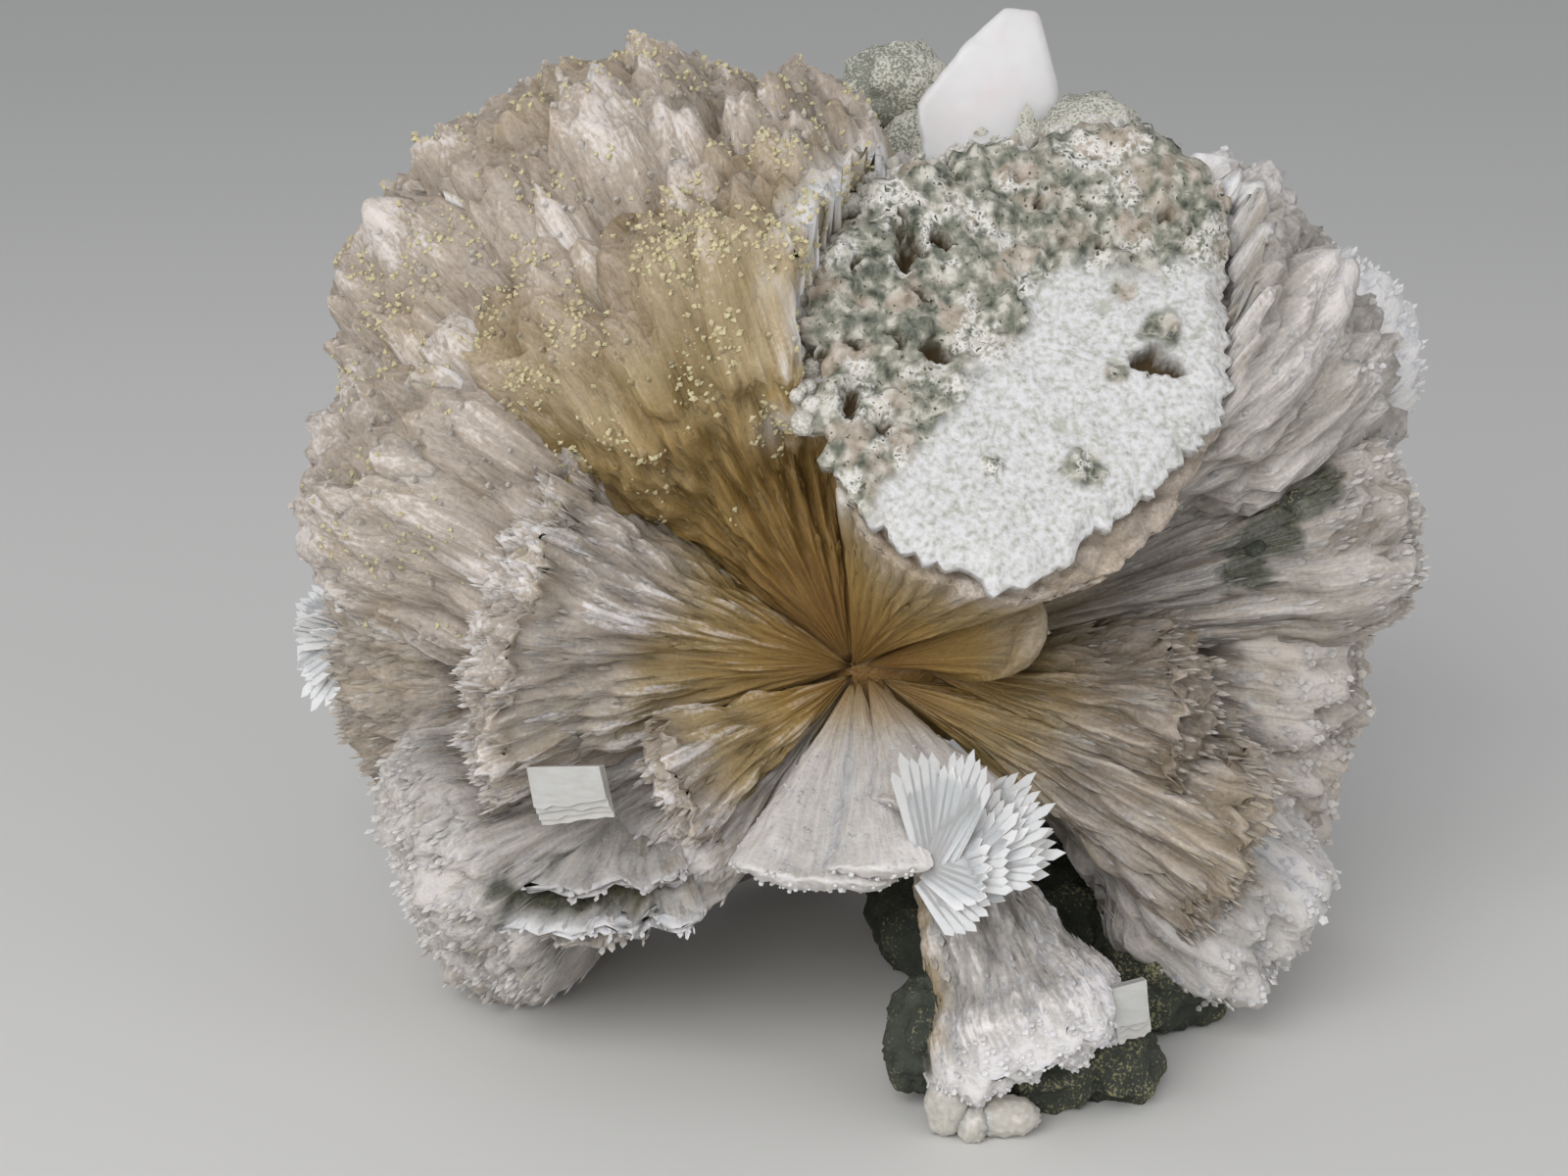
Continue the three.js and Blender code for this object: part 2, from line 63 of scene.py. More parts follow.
NUCLEUS = np.array([-0.4, -3.8, 19.9])  # where the laths start, in millimetres, as in the solids
BOX_LOW = np.array(cad_box[0]) / MM
BOX_HIGH = np.array(cad_box[1]) / MM
print("solids:", sorted(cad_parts))
print("size in millimetres:", np.round(BOX_HIGH - BOX_LOW, 1))

# %% [markdown]
# The photograph looks down on the specimen from the front at 18 degrees, from close by. A 60 mm lens at
# 144 mm from the middle gives the same size in the frame and the same strong perspective.

# %% Camera
CAMERA_TILT = math.radians(18)
CAMERA_DISTANCE = 144.0
CAMERA_LENS = 60.0
CAMERA_SHIFT = np.array([-3.78, 1.34, 4.1])  # the middle sits right of the frame's centre and below it

view_down = np.array([0, math.cos(CAMERA_TILT), -math.sin(CAMERA_TILT)])
camera_place = NUCLEUS + CAMERA_SHIFT - view_down * CAMERA_DISTANCE
camera_data = bpy.data.cameras.new("camera")
camera_data.lens = CAMERA_LENS
camera_data.clip_start = 0.01
camera = bpy.data.objects.new("camera", camera_data)
camera.location = Vector(camera_place * MM)
camera.rotation_euler = (math.radians(90) - CAMERA_TILT, 0, 0)
bpy.context.scene.collection.objects.link(camera)
bpy.context.scene.camera = camera
print("camera from the middle:", np.round(camera_place - NUCLEUS, 2))

# %% [markdown]
# Rocks and crystals are irregular, but the file has to give the same mesh each run. So every random number
# is worked out from whole numbers and a seed. Two patterns come from it. One is a soft unevenness. The
# other is a set of cells round scattered points, which is how bundles of laths lie beside each other.


# %% Random numbers that never change
def scatter(cells, seed):
    """A number from 0 to 1 for each row of three whole numbers."""
    mixed = (cells[:, 0] * 73856093) ^ (cells[:, 1] * 19349663) ^ (cells[:, 2] * 83492791)
    mixed = (mixed ^ (seed * 97654321 + 12345)) & 0xFFFFFFFF
    mixed = ((mixed ^ (mixed >> 13)) * 1274126177) & 0xFFFFFFFF
    mixed = ((mixed ^ (mixed >> 15)) * 668265263) & 0xFFFFFFFF
    return ((mixed ^ (mixed >> 16)) & 0xFFFFFF) / 0xFFFFFF


def smooth(value, low, high):
    """0 below low, 1 above high, and a soft step between."""
    t = np.clip((value - low) / (high - low), 0, 1)
    return t * t * (3 - 2 * t)


def uneven(places, seed, layers=3):
    """Soft unevenness from -1 to 1, with lumps one unit across and smaller ones on them."""
    total = np.zeros(len(places))
    for layer in range(layers):
        scaled = places * 2**layer + 17.3 * layer
        base = np.floor(scaled).astype(np.int64)
        part = scaled - base
        part = part * part * (3 - 2 * part)
        value = np.zeros(len(places))
        for corner in itertools.product((0, 1), repeat=3):
            weight = np.prod(np.where(corner, part, 1 - part), axis=1)
            value += weight * scatter(base + corner, seed + layer)
        total += (2 * value - 1) / 2**layer
    return total / 1.6


def bundles(places, seed):
    """Cells round scattered points, one point in each unit cube. Gives how near the point is, how much
    farther the next one is, a random number for the cell, and the way from the point."""
    base = np.floor(places).astype(np.int64)
    nearest = np.full(len(places), 9.0)
    second = nearest.copy()
    number = np.zeros(len(places))
    way = np.zeros_like(places)
    for step in itertools.product((-1, 0, 1), repeat=3):
        cube = base + step
        jitter = np.stack([scatter(cube, seed + 11 * k) for k in (1, 2, 3)], axis=1)
        away = places - cube - jitter
        distance = np.linalg.norm(away, axis=1)
        closer = distance < nearest
        second = np.where(closer, nearest, np.minimum(second, distance))
        nearest = np.where(closer, distance, nearest)
        number = np.where(closer, scatter(cube, seed + 5), number)
        way = np.where(closer[:, None], away, way)
    return nearest, second - nearest, number, way


trial = np.random.default_rng(1).random((1000, 3)) * 9
print("cells: mean distance to the nearest point", round(float(bundles(trial, 1)[0].mean()), 3))

# %% [markdown]
# A sheaf is a fan of laths from one apex. The table repeats the solids' own. Each row has where its tips are
# from the middle, which way it is broad, half its spread both ways in degrees, and its apex. Then come how
# its end slopes and leans, how domed it is and how round its rim, where that isn't the usual, and its
# finish, which is how the bundles of laths show on it.

# %% The sheaves
def form(tip, across, spread, apex=(0, 0, 0), **more):
    """One row of the table, by name."""
    return dict(tip=tip, across=across, spread=spread, apex=apex, **more)


PETAL = dict(slope=-0.18, dome=0, round=-0.03, finish="shingled")
LOW_PETAL = PETAL | dict(slope=-0.16)
APRON = dict(slope=-0.26, dome=0, round=-0.045, finish="fine")
LEG = dict(slope=-0.08, dome=0, round=-0.02, finish="pearly")
LIP = dict(slope=-0.3, dome=0.16, round=0.06, finish="cone")
LEDGE = dict(dome=-0.16, round=0, finish="ledge")
BENT_LEDGE = LEDGE | dict(lean=-0.05)
SHEAVES = {
    "crown_front": form((-12.2, 4.5, 25.4), (1, 0, 0.4), (34, 25), slope=0.02, finish="knobby"),
    "crown_left": form((-20.8, 11, 27), (0.6, 0, 0.8), (27, 22), (0, 1, 0), finish="knobby"),
    "crown_top": form((-8, 12.6, 29.2), (1, 0, 0.2), (20, 20), (0, 2, 0), finish="knobby"),
    "shoulder_left": form((-27.5, 6.4, 13.8), (0, 0, 1), (24, 25), (0, 1, 0), slope=0.05, finish="knobby"),
    "petal_left": form((-19.4, -4.6, 4.2), (0.1, 0, 1), (29, 22), **PETAL),
    "petal_left_back": form((-29, 8, -1.5), (0, 0, 1), (27, 23), (-1, 3, 0), finish="shingled"),
    "petal_low_left": form((-10.6, -8.2, -4.4), (-0.5, 0.1, 0.9), (19, 16), (0, 0, -0.5), **LOW_PETAL),
    "lobe_low_left": form(
        (-24, -2.5, -11.6), (-0.3, 0, 0.9), (19, 25), (0, 1, -0.5), dome=0.04, round=-0.01, finish="fibrous"
    ),
    "heel_left": form((-23.2, 4.5, -18), (-0.5, 0, 0.9), (14, 24), (0, 4, -1), finish="fibrous"),
    "ledge_low_left": form(
        (-14, -6.5, -9.6), (1, -0.35, 0.3), (30, 11), (0, 0, -0.5), lean=-0.15, dome=0, finish="fibrous"
    ),
    "apron_left": form((-2.2, -11.5, -7.7), (1, 0, 0), (19, 13), (0, -0.5, -0.6), **APRON),
    "apron_right": form((0.9, -11.7, -7.1), (1, 0, 0), (13.5, 13), (0.3, -0.5, -0.5), **APRON),
    "apron_behind": form((4.8, -9.5, -4.9), (1, 0.2, -0.3), (23, 12), (0.8, -0.2, -0.5), **APRON),
    "leg": form((9.6, -13.8, -17), (1, -0.25, 0), (14, 16), (1.6, -0.4, -0.6), **LEG),
    "petal_right": form((18.4, -3.8, -1), (0, 0, 1), (20, 24), (3.5, 0, 0), **PETAL),
    "petal_right_low": form((20.6, -4.1, -7.4), (-0.3, 0, 1), (17, 22), (1.4, -0.3, -0.6), **LOW_PETAL),
    "lobe_low_right": form((24.3, 0, -15.6), (0.6, 0, 1), (16, 24), (4, 0.5, -0.5), finish="shelly"),
    "lobe_right_back": form((27.5, 10.5, -6.5), (0, 0, 1), (29, 26), (3, 3, 0), finish="shelly"),
    "wedge_right": form((30.5, 6.5, 7.5), (0, 0, 1), (15, 18), (3, 0.5, 0), finish="fibrous"),
    "bouquet": form((14.8, -10.4, 31.5), (1, 0, -0.2), (29, 35), dome=0, round=0, finish="cone"),
    "shoulder_right": form((25, 11.5, 20.5), (0.3, 0, 1), (25, 24), (1, 1, 0), finish="knobby"),
    "spray_right": form((31, 18.5, 17), (-0.5, 0.1, 0.9), (22, 20), (16, 10, 4), finish="fibrous"),
    "lip_right": form((10, -5.6, 4.2), (0.2, 0.5, 1), (17, 10), (0.5, 0, 0), **LIP),
    "ledge_top": form((-13.2, -10.9, -7.6), (1, 0.05, 0.24), (24, 0.9), (-11, -1, -3.5), **LEDGE),
    "ledge_middle": form(
        (-14.2, -11.4, -9.2), (1, 0.05, 0.24), (30, 0.8), (-11, -1, -3.5), **BENT_LEDGE | dict(dome=-0.2)
    ),
    "ledge_bottom": form((-15.4, -10.4, -10.6), (1, 0, 0.24), (24, 0.8), (-12, -1, -3.5), **BENT_LEDGE),
    "back_top": form((9, 19, 22), (1, 0, 0), (30, 19), (0, 3, 0), finish="knobby"),
    "back_left": form((-18, 21, 8), (0.5, 0.3, 1), (30, 28), (0, 3, 0), finish="shingled"),
    "back_low": form((-7, 19.5, -15.5), (1, 0, 0), (30, 24), (1, 4, -1), finish="shingled"),
    "back_right": form((19, 21, 0), (0, 0.2, 1), (28, 26), (2, 4, 0), finish="shelly"),
}
print(len(SHEAVES), "big sheaves")

# %% [markdown]
# Where the laths of a sheaf go follows from its row: they fan out from the apex and bend outwards a little.
# The bouquet is cut off by the flat face where it broke off the rock, and the crust lies on that face.

# %% Where the laths are
FLARE = 0.12  # how much the laths bend outwards on the way to their tips
USUAL_DOME = 0.05  # how much shorter the outer laths are than the middle one, as a share of its length
USUAL_ROUND = 0.08  # and how much shorter the outermost ones are besides, which rounds the rim
CORNER_POWER = 2.67  # a sheaf's end is a circle pressed towards a square
BREAK_POINT = NUCLEUS + (8.2, -2.2, 18.6)  # a point of the face where the bouquet broke off the rock
BREAK_NORMAL = np.array([0.12, -0.69, 0.72])
BREAK_NORMAL = BREAK_NORMAL / np.linalg.norm(BREAK_NORMAL)
BREAK_RIGHT = np.cross((0, 1, 0), BREAK_NORMAL)
BREAK_RIGHT = BREAK_RIGHT / np.linalg.norm(BREAK_RIGHT)
BREAK_UP = np.cross(BREAK_NORMAL, BREAK_RIGHT)
# How far the crust reaches from that point, anticlockwise from its right side in even turns.
CRUST_REACH = [11, 12, 15.5, 16.5, 12.5, 11.5, 12, 10.5, 11, 11, 13, 14.5, 15, 12, 11, 11]


def axes_of(sheaf):
    """A sheaf's apex, the ways along, across and through it, its length, and the tangents of its spread."""
    apex = np.array(sheaf["apex"], float)
    reach = np.array(sheaf["tip"]) - apex
    length = np.linalg.norm(reach)
    along = reach / length
    broad = np.array(sheaf["across"], float)
    broad = broad - broad @ along * along
    broad = broad / np.linalg.norm(broad)
    thick = np.cross(along, broad)
    thick = -thick if thick[1] < 0 else thick
    return apex + NUCLEUS, along, broad, thick, length, np.tan(np.radians(sheaf["spread"]))


def above_break(places):
    """How high places are above the broken face, and where they are across it."""
    away = places - BREAK_POINT
    return away @ BREAK_NORMAL, away @ BREAK_RIGHT, away @ BREAK_UP


def crust_reach(turn):
    """How far the crust reaches at each turn round its middle, rounded between the measured places."""
    step = 2 * math.pi / len(CRUST_REACH)
    slots = np.arange(-2, len(CRUST_REACH) + 3)
    return np.interp((turn % (2 * math.pi)) / step, slots, np.array(CRUST_REACH)[slots % len(CRUST_REACH)])


def squared(x, y):
    """How far out places are on a sheaf's end, whose rim is 1 all round."""
    return (np.abs(x) ** CORNER_POWER + np.abs(y) ** CORNER_POWER) ** (1 / CORNER_POWER)


def sheaf_places(name, x, y, share):
    """Places in a sheaf at shares of its spread both ways and of its length, and the laths' own way."""
    sheaf = SHEAVES[name]
    apex, along, broad, thick, length, spread = axes_of(sheaf)
    bend = 1 - FLARE * (1 - share)
    way = along + np.outer(x * spread[0] * bend, broad) + np.outer(y * spread[1] * bend, thick)
    way = way / np.linalg.norm(way, axis=1)[:, None]
    drop = sheaf.get("dome", USUAL_DOME) * (x * x + y * y)
    drop = drop + sheaf.get("round", USUAL_ROUND) * squared(x, y) ** 6
    end = length * (1 + sheaf.get("lean", 0) * x + sheaf.get("slope", 0) * y - drop)
    if name == "bouquet":
        end = np.minimum(end, ((BREAK_POINT - apex) @ BREAK_NORMAL) / (way @ BREAK_NORMAL))
    return apex + way * (end * share)[:, None], way


def hidden_in(name, places, margin):
    """Which places lie inside a sheaf, by at least a margin of its spread and length."""
    apex, along, broad, thick, length, spread = axes_of(SHEAVES[name])
    away = places - apex
    depth = np.maximum(away @ along, 0.01)
    distance = np.linalg.norm(away, axis=1)
    bend = 1 - FLARE * (1 - np.clip(distance / length, 0, 1))
    wide = squared(away @ broad / depth / spread[0] / bend, away @ thick / depth / spread[1] / bend)
    inside = (wide < 1 - margin) & (distance < length * (1 - margin) * (1 - USUAL_ROUND * wide))
    if name == "bouquet":
        inside &= above_break(places)[0] < -1
    return inside & (away @ along > 0.3)


middle = np.zeros(1)
tips = [sheaf_places(name, middle, middle, middle + 1)[0][0] for name in SHEAVES]
print("the tips reach from", np.round(np.min(tips, axis=0), 1), "to", np.round(np.max(tips, axis=0), 1))

# %% [markdown]
# A big sheaf isn't one even fan: smaller ones stand out of its end here and there. These buds come from
# chance, so that no two are alike, and each gets a row of its own in the table.

# %% Buds
BUD_REACH = 0.8  # how far from a sheaf's middle its buds are, as a share of the way to its rim
BUD_AREA = 28.0  # square millimetres of a sheaf's end to each bud
BUD_ROOT = 0.42  # where a bud starts, as a share of its parent's length
BUD_SIZE = (1.6, 3.1)  # half a bud's breadth at its end
BUD_RISE = (-0.9, 0.5)  # how far a bud's tip stands beyond its parent's end
BUD_DEPTH = 0.8  # a bud's spread through it, as a share of the one across it
BUD_DOME = 0.22
BUDDED = {"knobby": 1, "shingled": 0.7, "shelly": 0.8, "fibrous": 0.4}  # how many buds, for each finish
NO_BUDS = ("lobe_low_left", "heel_left", "ledge_low_left", "leg", "apron_behind", "bouquet")


def add_buds(name, seed):
    """Small sheaves that start inside a big one and end a little beyond its own end, all over it."""
    sheaf = SHEAVES[name]
    broad = axes_of(sheaf)[2]
    length, spread = axes_of(sheaf)[4:]
    chance = np.random.default_rng(seed)
    half = length * spread
    number = int(4 * half[0] * half[1] / BUD_AREA * BUDDED.get(sheaf["finish"], 0))
    for k in range(number):
        x, y = chance.uniform(-BUD_REACH, BUD_REACH, 2)
        x, y = np.array([x, y]) / max(1, math.hypot(x, y) / BUD_REACH)
        (start, end), (_, way) = sheaf_places(name, np.full(2, x), np.full(2, y), np.array([BUD_ROOT, 1]))
        size = chance.uniform(*BUD_SIZE)
        wide = math.degrees(math.atan(size / np.linalg.norm(end - start)))
        tip = end + way * chance.uniform(*BUD_RISE) - NUCLEUS
        SHEAVES[f"{name}_bud_{k}"] = form(
            tip, broad, (wide, wide * BUD_DEPTH), start - NUCLEUS, dome=BUD_DOME, finish=sheaf["finish"],
            part_of=name,
        )


BIG_SHEAVES = list(SHEAVES)
for order, name in enumerate(BIG_SHEAVES):
    if not name.startswith("back") and name not in NO_BUDS:
        add_buds(name, 300 + order)
print(len(SHEAVES), "sheaves, the longest", round(max(axes_of(s)[4] for s in SHEAVES.values()), 1), "mm")

# %% [markdown]
# The mesh of a sheaf is a cap of squares over its end, rings of squares down its sides, and one point at
# the apex. A square grid is spread over the round cap, so that its squares stay much the same size, where
# rings round a pole would crowd in the middle. The mesh is closed, and its rows are a little over half a
# millimetre apart, closest near the tips. A bud hides its lower half in its parent, so it has none.


# %% A closed grid for one sheaf
CAP_BREADTH = 0.985  # the cap's rim, as a share of the sheaf's breadth
CAP_DROP = 0.055  # how far below the tip the cap meets the side, as a share of the length
SIDE_LENGTH = 0.9  # how much of the length the rings cover
ROW_CROWDING = 1.15  # over 1, the rings are closer together near the tips


def grid_of_sheaf(count, rings, start=0.0):
    """Where each vertex is in the sheaf, as shares across, through and along it, and the faces."""
    side = np.linspace(-1, 1, count + 1)
    a, b = (v.ravel() for v in np.meshgrid(side, side, indexing="ij"))
    round_a = a * np.sqrt(1 - b * b / 2)
    round_b = b * np.sqrt(1 - a * a / 2)
    reach = np.hypot(round_a, round_b)
    turn = np.arctan2(round_b, round_a)
    corner = 1 / squared(np.cos(turn), np.sin(turn))
    cap_x = round_a * corner * CAP_BREADTH
    cap_y = round_b * corner * CAP_BREADTH
    cap_share = 1 - CAP_DROP * reach**5

    def number(i, j):
        return i * (count + 1) + j

    steps = range(count)
    faces = [
        (number(i, j), number(i, j + 1), number(i + 1, j + 1), number(i + 1, j)) for i in steps for j in steps
    ]
    rim = [number(i, 0) for i in steps]
    rim += [number(count, j) for j in steps]
    rim += [number(count - i, count) for i in steps]
    rim += [number(0, count - j) for j in steps]
    rim = np.array(rim)
    around = len(rim)
    t = np.arange(1, rings + 1) / rings
    ring_share = 1 - CAP_DROP - (SIDE_LENGTH - start) * t**ROW_CROWDING
    x = np.concatenate([cap_x, *(cap_x[rim] / CAP_BREADTH for _ in t), [0]])
    y = np.concatenate([cap_y, *(cap_y[rim] / CAP_BREADTH for _ in t), [0]])
    share = np.concatenate([cap_share, *(np.full(around, s) for s in ring_share), [start]])
    before = rim
    for ring in range(rings):
        now = len(cap_x) + ring * around + np.arange(around)
        faces += zip(before, np.roll(before, -1), np.roll(now, -1), now)
        before = now
    apex = len(x) - 1
    faces += [(p, q, apex) for p, q in zip(before, np.roll(before, -1))]
    return x, y, share, [tuple(int(v) for v in face) for face in faces]


def triangles_of(faces):
    """Faces of three and four corners as triangles."""
    return np.array([(f[0], f[k], f[k + 1]) for f in faces for k in range(1, len(f) - 1)])


def normals_of(places, triangles):
    """A smooth outward way at each vertex."""
    a, b, c = (places[triangles[:, k]] for k in range(3))
    face = np.cross(b - a, c - a)
    normals = np.zeros_like(places)
    for k, axis in itertools.product(range(3), range(3)):
        normals[:, axis] += np.bincount(triangles[:, k], face[:, axis], len(places))
    size = np.linalg.norm(normals, axis=1)
    return normals / np.maximum(size, 1e-12)[:, None]


def turned_outwards(places, faces):
    """The faces, all turned over if the closed mesh was inside out."""
    triangles = triangles_of(faces)
    middle = places.mean(0)
    a, b, c = (places[triangles[:, k]] - middle for k in range(3))
    inside_out = (a * np.cross(b, c)).sum() < 0
    return [f[::-1] for f in faces] if inside_out else faces


print("a small sheaf has", len(grid_of_sheaf(20, 20)[0]), "vertices")

# %% [markdown]
# Each finish is a few sizes of bundle, large to small: their width, length and depth in millimetres. Along
# a side a bundle is a round lock that rises towards its tip and drops off behind it, like a roof tile. On
# the end it is a knob. Sugar gives the shares of the length between which locks pass into knobs, and ragged
# how unevenly the bundles end, in millimetres. Then come how much painted pearly highlight the ridges get,
# and how much lighter than the grooves the ridges are painted: painted highlight and painted shade. Then
# come the laths that are set on it, on the sides and on the caps: how many to a square millimetre, and their
# width, thickness and length. They lie nearly flush, so that they only edge the locks, and where they are
# seen end-on they are grains.

# %% Finishes
FINISHES = {
    "knobby": dict(
        levels=[(4, 9, 1.5), (1.8, 5, 0.9), (0.75, 2.2, 0.4)], sugar=(0.45, 0.85), ragged=1.4, painted_highlight_share=0.6,
        painted_shade_contrast=0.75, side=(0.5, 0.24, 0.1, 1.6), cap=(0.15, 0.3, 0.2, 0.6),
    ),
    "shingled": dict(
        levels=[(2.8, 8, 1), (1.1, 4.6, 0.7), (0.52, 2.6, 0.36)], sugar=(0.96, 1.04), ragged=2, painted_highlight_share=1,
        side=(0.9, 0.2, 0.08, 1.7), cap=(1.3, 0.2, 0.1, 1.4),
    ),
    "fibrous": dict(
        levels=[(2.8, 16, 0.8), (1.1, 9, 0.42), (0.6, 5, 0.22)], sugar=(0.9, 1), ragged=1.3,
        side=(0.8, 0.2, 0.08, 2), cap=(1.3, 0.22, 0.12, 1),
    ),
    "shelly": dict(
        levels=[(2.8, 4, 1.2), (1.4, 2.4, 0.65), (0.75, 1.5, 0.3)], sugar=(0.7, 0.95), ragged=1.1,
        side=(0.7, 0.4, 0.1, 1.2), cap=(1.1, 0.4, 0.12, 0.8),
    ),
    "pearly": dict(
        levels=[(2.6, 6, 0.8), (1, 2, 0.5), (0.5, 1, 0.22)], sugar=(0.74, 0.95), ragged=0.8, painted_highlight_share=1,
        side=(1, 0.34, 0.08, 1.2), cap=(3, 0.26, 0.12, 0.45),
    ),
    "fine": dict(
        levels=[(6, 30, 0.4), (0.95, 1.5, 0.22), (0.5, 0.8, 0.16)], sugar=(0.93, 1.05), ragged=0.5,
        painted_shade_contrast=0.4, side=(1.2, 0.16, 0.1, 0.35), cap=(1.5, 0.2, 0.12, 0.5),
    ),
    "ledge": dict(
        levels=[(2.6, 9, 0.3), (0.9, 4, 0.12), (0.5, 2, 0.08)], sugar=(0.9, 1), ragged=1.6,
        side=(0.8, 0.3, 0.06, 1.2), cap=(1, 0.3, 0.06, 0.7),
    ),
    "cone": dict(
        levels=[(4, 24, 0.7), (1.2, 14, 0.16), (0.6, 8, 0.08)], sugar=(1.5, 2), ragged=0, painted_shade_contrast=0.35,
        side=(0.6, 0.16, 0.06, 1.4), cap=(0.3, 0.2, 0.1, 0.4),
    ),
}
# how much painted highlight the ridges of a finish get, where it doesn't say
USUAL_PAINTED_HIGHLIGHT_SHARE = 0.25
print(len(FINISHES), "finishes, the narrowest bundle", min(f["levels"][2][0] for f in FINISHES.values()))

# %% [markdown]
# The relief comes from the cells of bundles. Side and end share one set of sizes, and pass into each other
# softly. Locks sway a little sideways, as hair does, so that no groove is a straight line.

# %% The relief of bundles
TONE_SHARES = (0.5, 0.3, 0.2)  # how much each size of bundle differs in tone from its neighbours
KNOB_JITTER = 0.65  # how unevenly the knobs stand out, as a share of their depth
KNOB_LENGTH = 1.5  # a knob's length, as a share of its width
KNOB_END = 0.94  # where the last knobs start, as a share of the length, so that they aren't cut at the tip
LOCK_ROOT = 0.45  # how high a lock's root is beside its tip
GROOVE = 0.5  # how far out from a cell's border its groove goes, as a share of the cell
LOCK_GROOVE = 0.35  # how deep it is between locks, as a share of their depth
KNOB_GROOVE = 0.25
LOCK_WAVE = 0.9  # how far locks sway sideways, in millimetres
LOCK_WAVE_LENGTH = 6.0
RAG_WIDTHS = ((1.5, 0.65), (0.6, 0.35))  # widths of bundles that end at different lengths, and their shares
RAG_MIDDLE = 0.65  # more than half, so that more bundles end early than late
RAG_DOME = 0.25  # how far a bundle's middle stands out


def relief_of(finish, across, reach, length, sugar, seed):
    """How high the bundles raise each place of a sheaf, in millimetres, and the bundles' tone there."""
    height = np.zeros(len(reach))
    tone = np.zeros(len(reach))
    for chosen, weight, knobs in ((sugar < 1, 1 - sugar, False), (sugar > 0, sugar, True)):
        depth_in = np.minimum(reach, KNOB_END * length) if knobs else reach
        spots = np.concatenate([across[chosen], depth_in[chosen, None]], axis=1)
        for k in range(2):
            spots[:, k] += LOCK_WAVE * uneven(spots / LOCK_WAVE_LENGTH, seed + 60 + k, 2)
        for level, (width, long, depth) in enumerate(finish["levels"]):
            cell = (width, width, KNOB_LENGTH * width if knobs else long)
            near, gap, number, off = bundles(spots / cell, seed + 7 * level)
            groove = 1 - smooth(gap, 0, GROOVE)
            rounded = 1 - near**2
            if knobs:
                value = rounded - KNOB_GROOVE * groove + KNOB_JITTER * (number - 0.5)
            else:
                rise = LOCK_ROOT + (1 - LOCK_ROOT) * np.clip(0.5 + off[:, 2], 0, 1)
                value = rounded * rise - LOCK_GROOVE * groove
            height[chosen] += weight[chosen] * depth * (value - 0.5)
            tone[chosen] += weight[chosen] * number * TONE_SHARES[level]
    return height, tone


def ragged_ends(swayed, seed):
    """How much longer or shorter than its neighbours the bundle at each place is, as a share of the rag."""
    ragged = np.zeros(len(swayed))
    for width, portion in RAG_WIDTHS:
        near, _, number, _ = bundles(np.stack([*swayed.T, ragged * 0], axis=1) / width, seed + 40)
        ragged += portion * (number - RAG_MIDDLE + RAG_DOME * (1 - near**2))
    return ragged


trial = relief_of(FINISHES["shingled"], np.zeros((50, 2)), np.linspace(0, 20, 50), 20, np.zeros(50), 1)[0]
print("shingled relief in millimetres, lowest and highest:", np.round([trial.min(), trial.max()], 2))

# %% [markdown]
# Shaping a sheaf puts the relief on its grid: each vertex is moved out by it, sideways on the sides and
# lengthwise on the end.

# %% Shaping a sheaf
SPACING = 0.44  # between the vertices round a sheaf
FINE_SPACING = 0.28  # where the locks are finest, in the petals before the middle
BUD_SPACING = 0.5
BACK_SPACING = 0.8
FINE_SHEAVES = (
    "petal_left", "petal_low_left", "apron_behind", "petal_right", "petal_right_low", "apron_left",
    "apron_right", "leg",
)
ROW_STRETCH = 1.9  # rows along a sheaf are this much farther apart than round it
CAP_SQUARES = 1.8  # squares over a sheaf's end for each spacing in half its breadth
FEWEST_SQUARES = 8
FEWEST_RINGS = 6
BUD_START = 0.5  # the share of a bud's length where its mesh starts
KNOB_LIFT = 0.5  # how far the knobs are raised, as a share of their depth, so that rims don't fold in
LIFT_BACK = 0.7  # the share of that by which the sheaf is shortened first, so that it ends where it should
# These are places along a sheaf, as shares of its length: where something begins, and where it is full.
CAP_SHARES = (0.86, 0.97)  # the side passes into the end
GROW_SHARES = (0.05, 0.65)  # the relief grows
RAG_SHARES = (0.6, 0.93)  # the ends are ragged
ROOT_RELIEF = 0.12  # how strong the relief is at the apex, as a share
RELIEF_SHADING_LEVEL = 0.55  # a place of middle height is this near a ridge, from 0 in a groove to 1


def spacing_of(name):
    """How far apart the vertices of a sheaf are."""
    if name.startswith("back"):
        return BACK_SPACING
    if "part_of" in SHEAVES[name]:
        return BUD_SPACING
    return FINE_SPACING if name in FINE_SHEAVES else SPACING


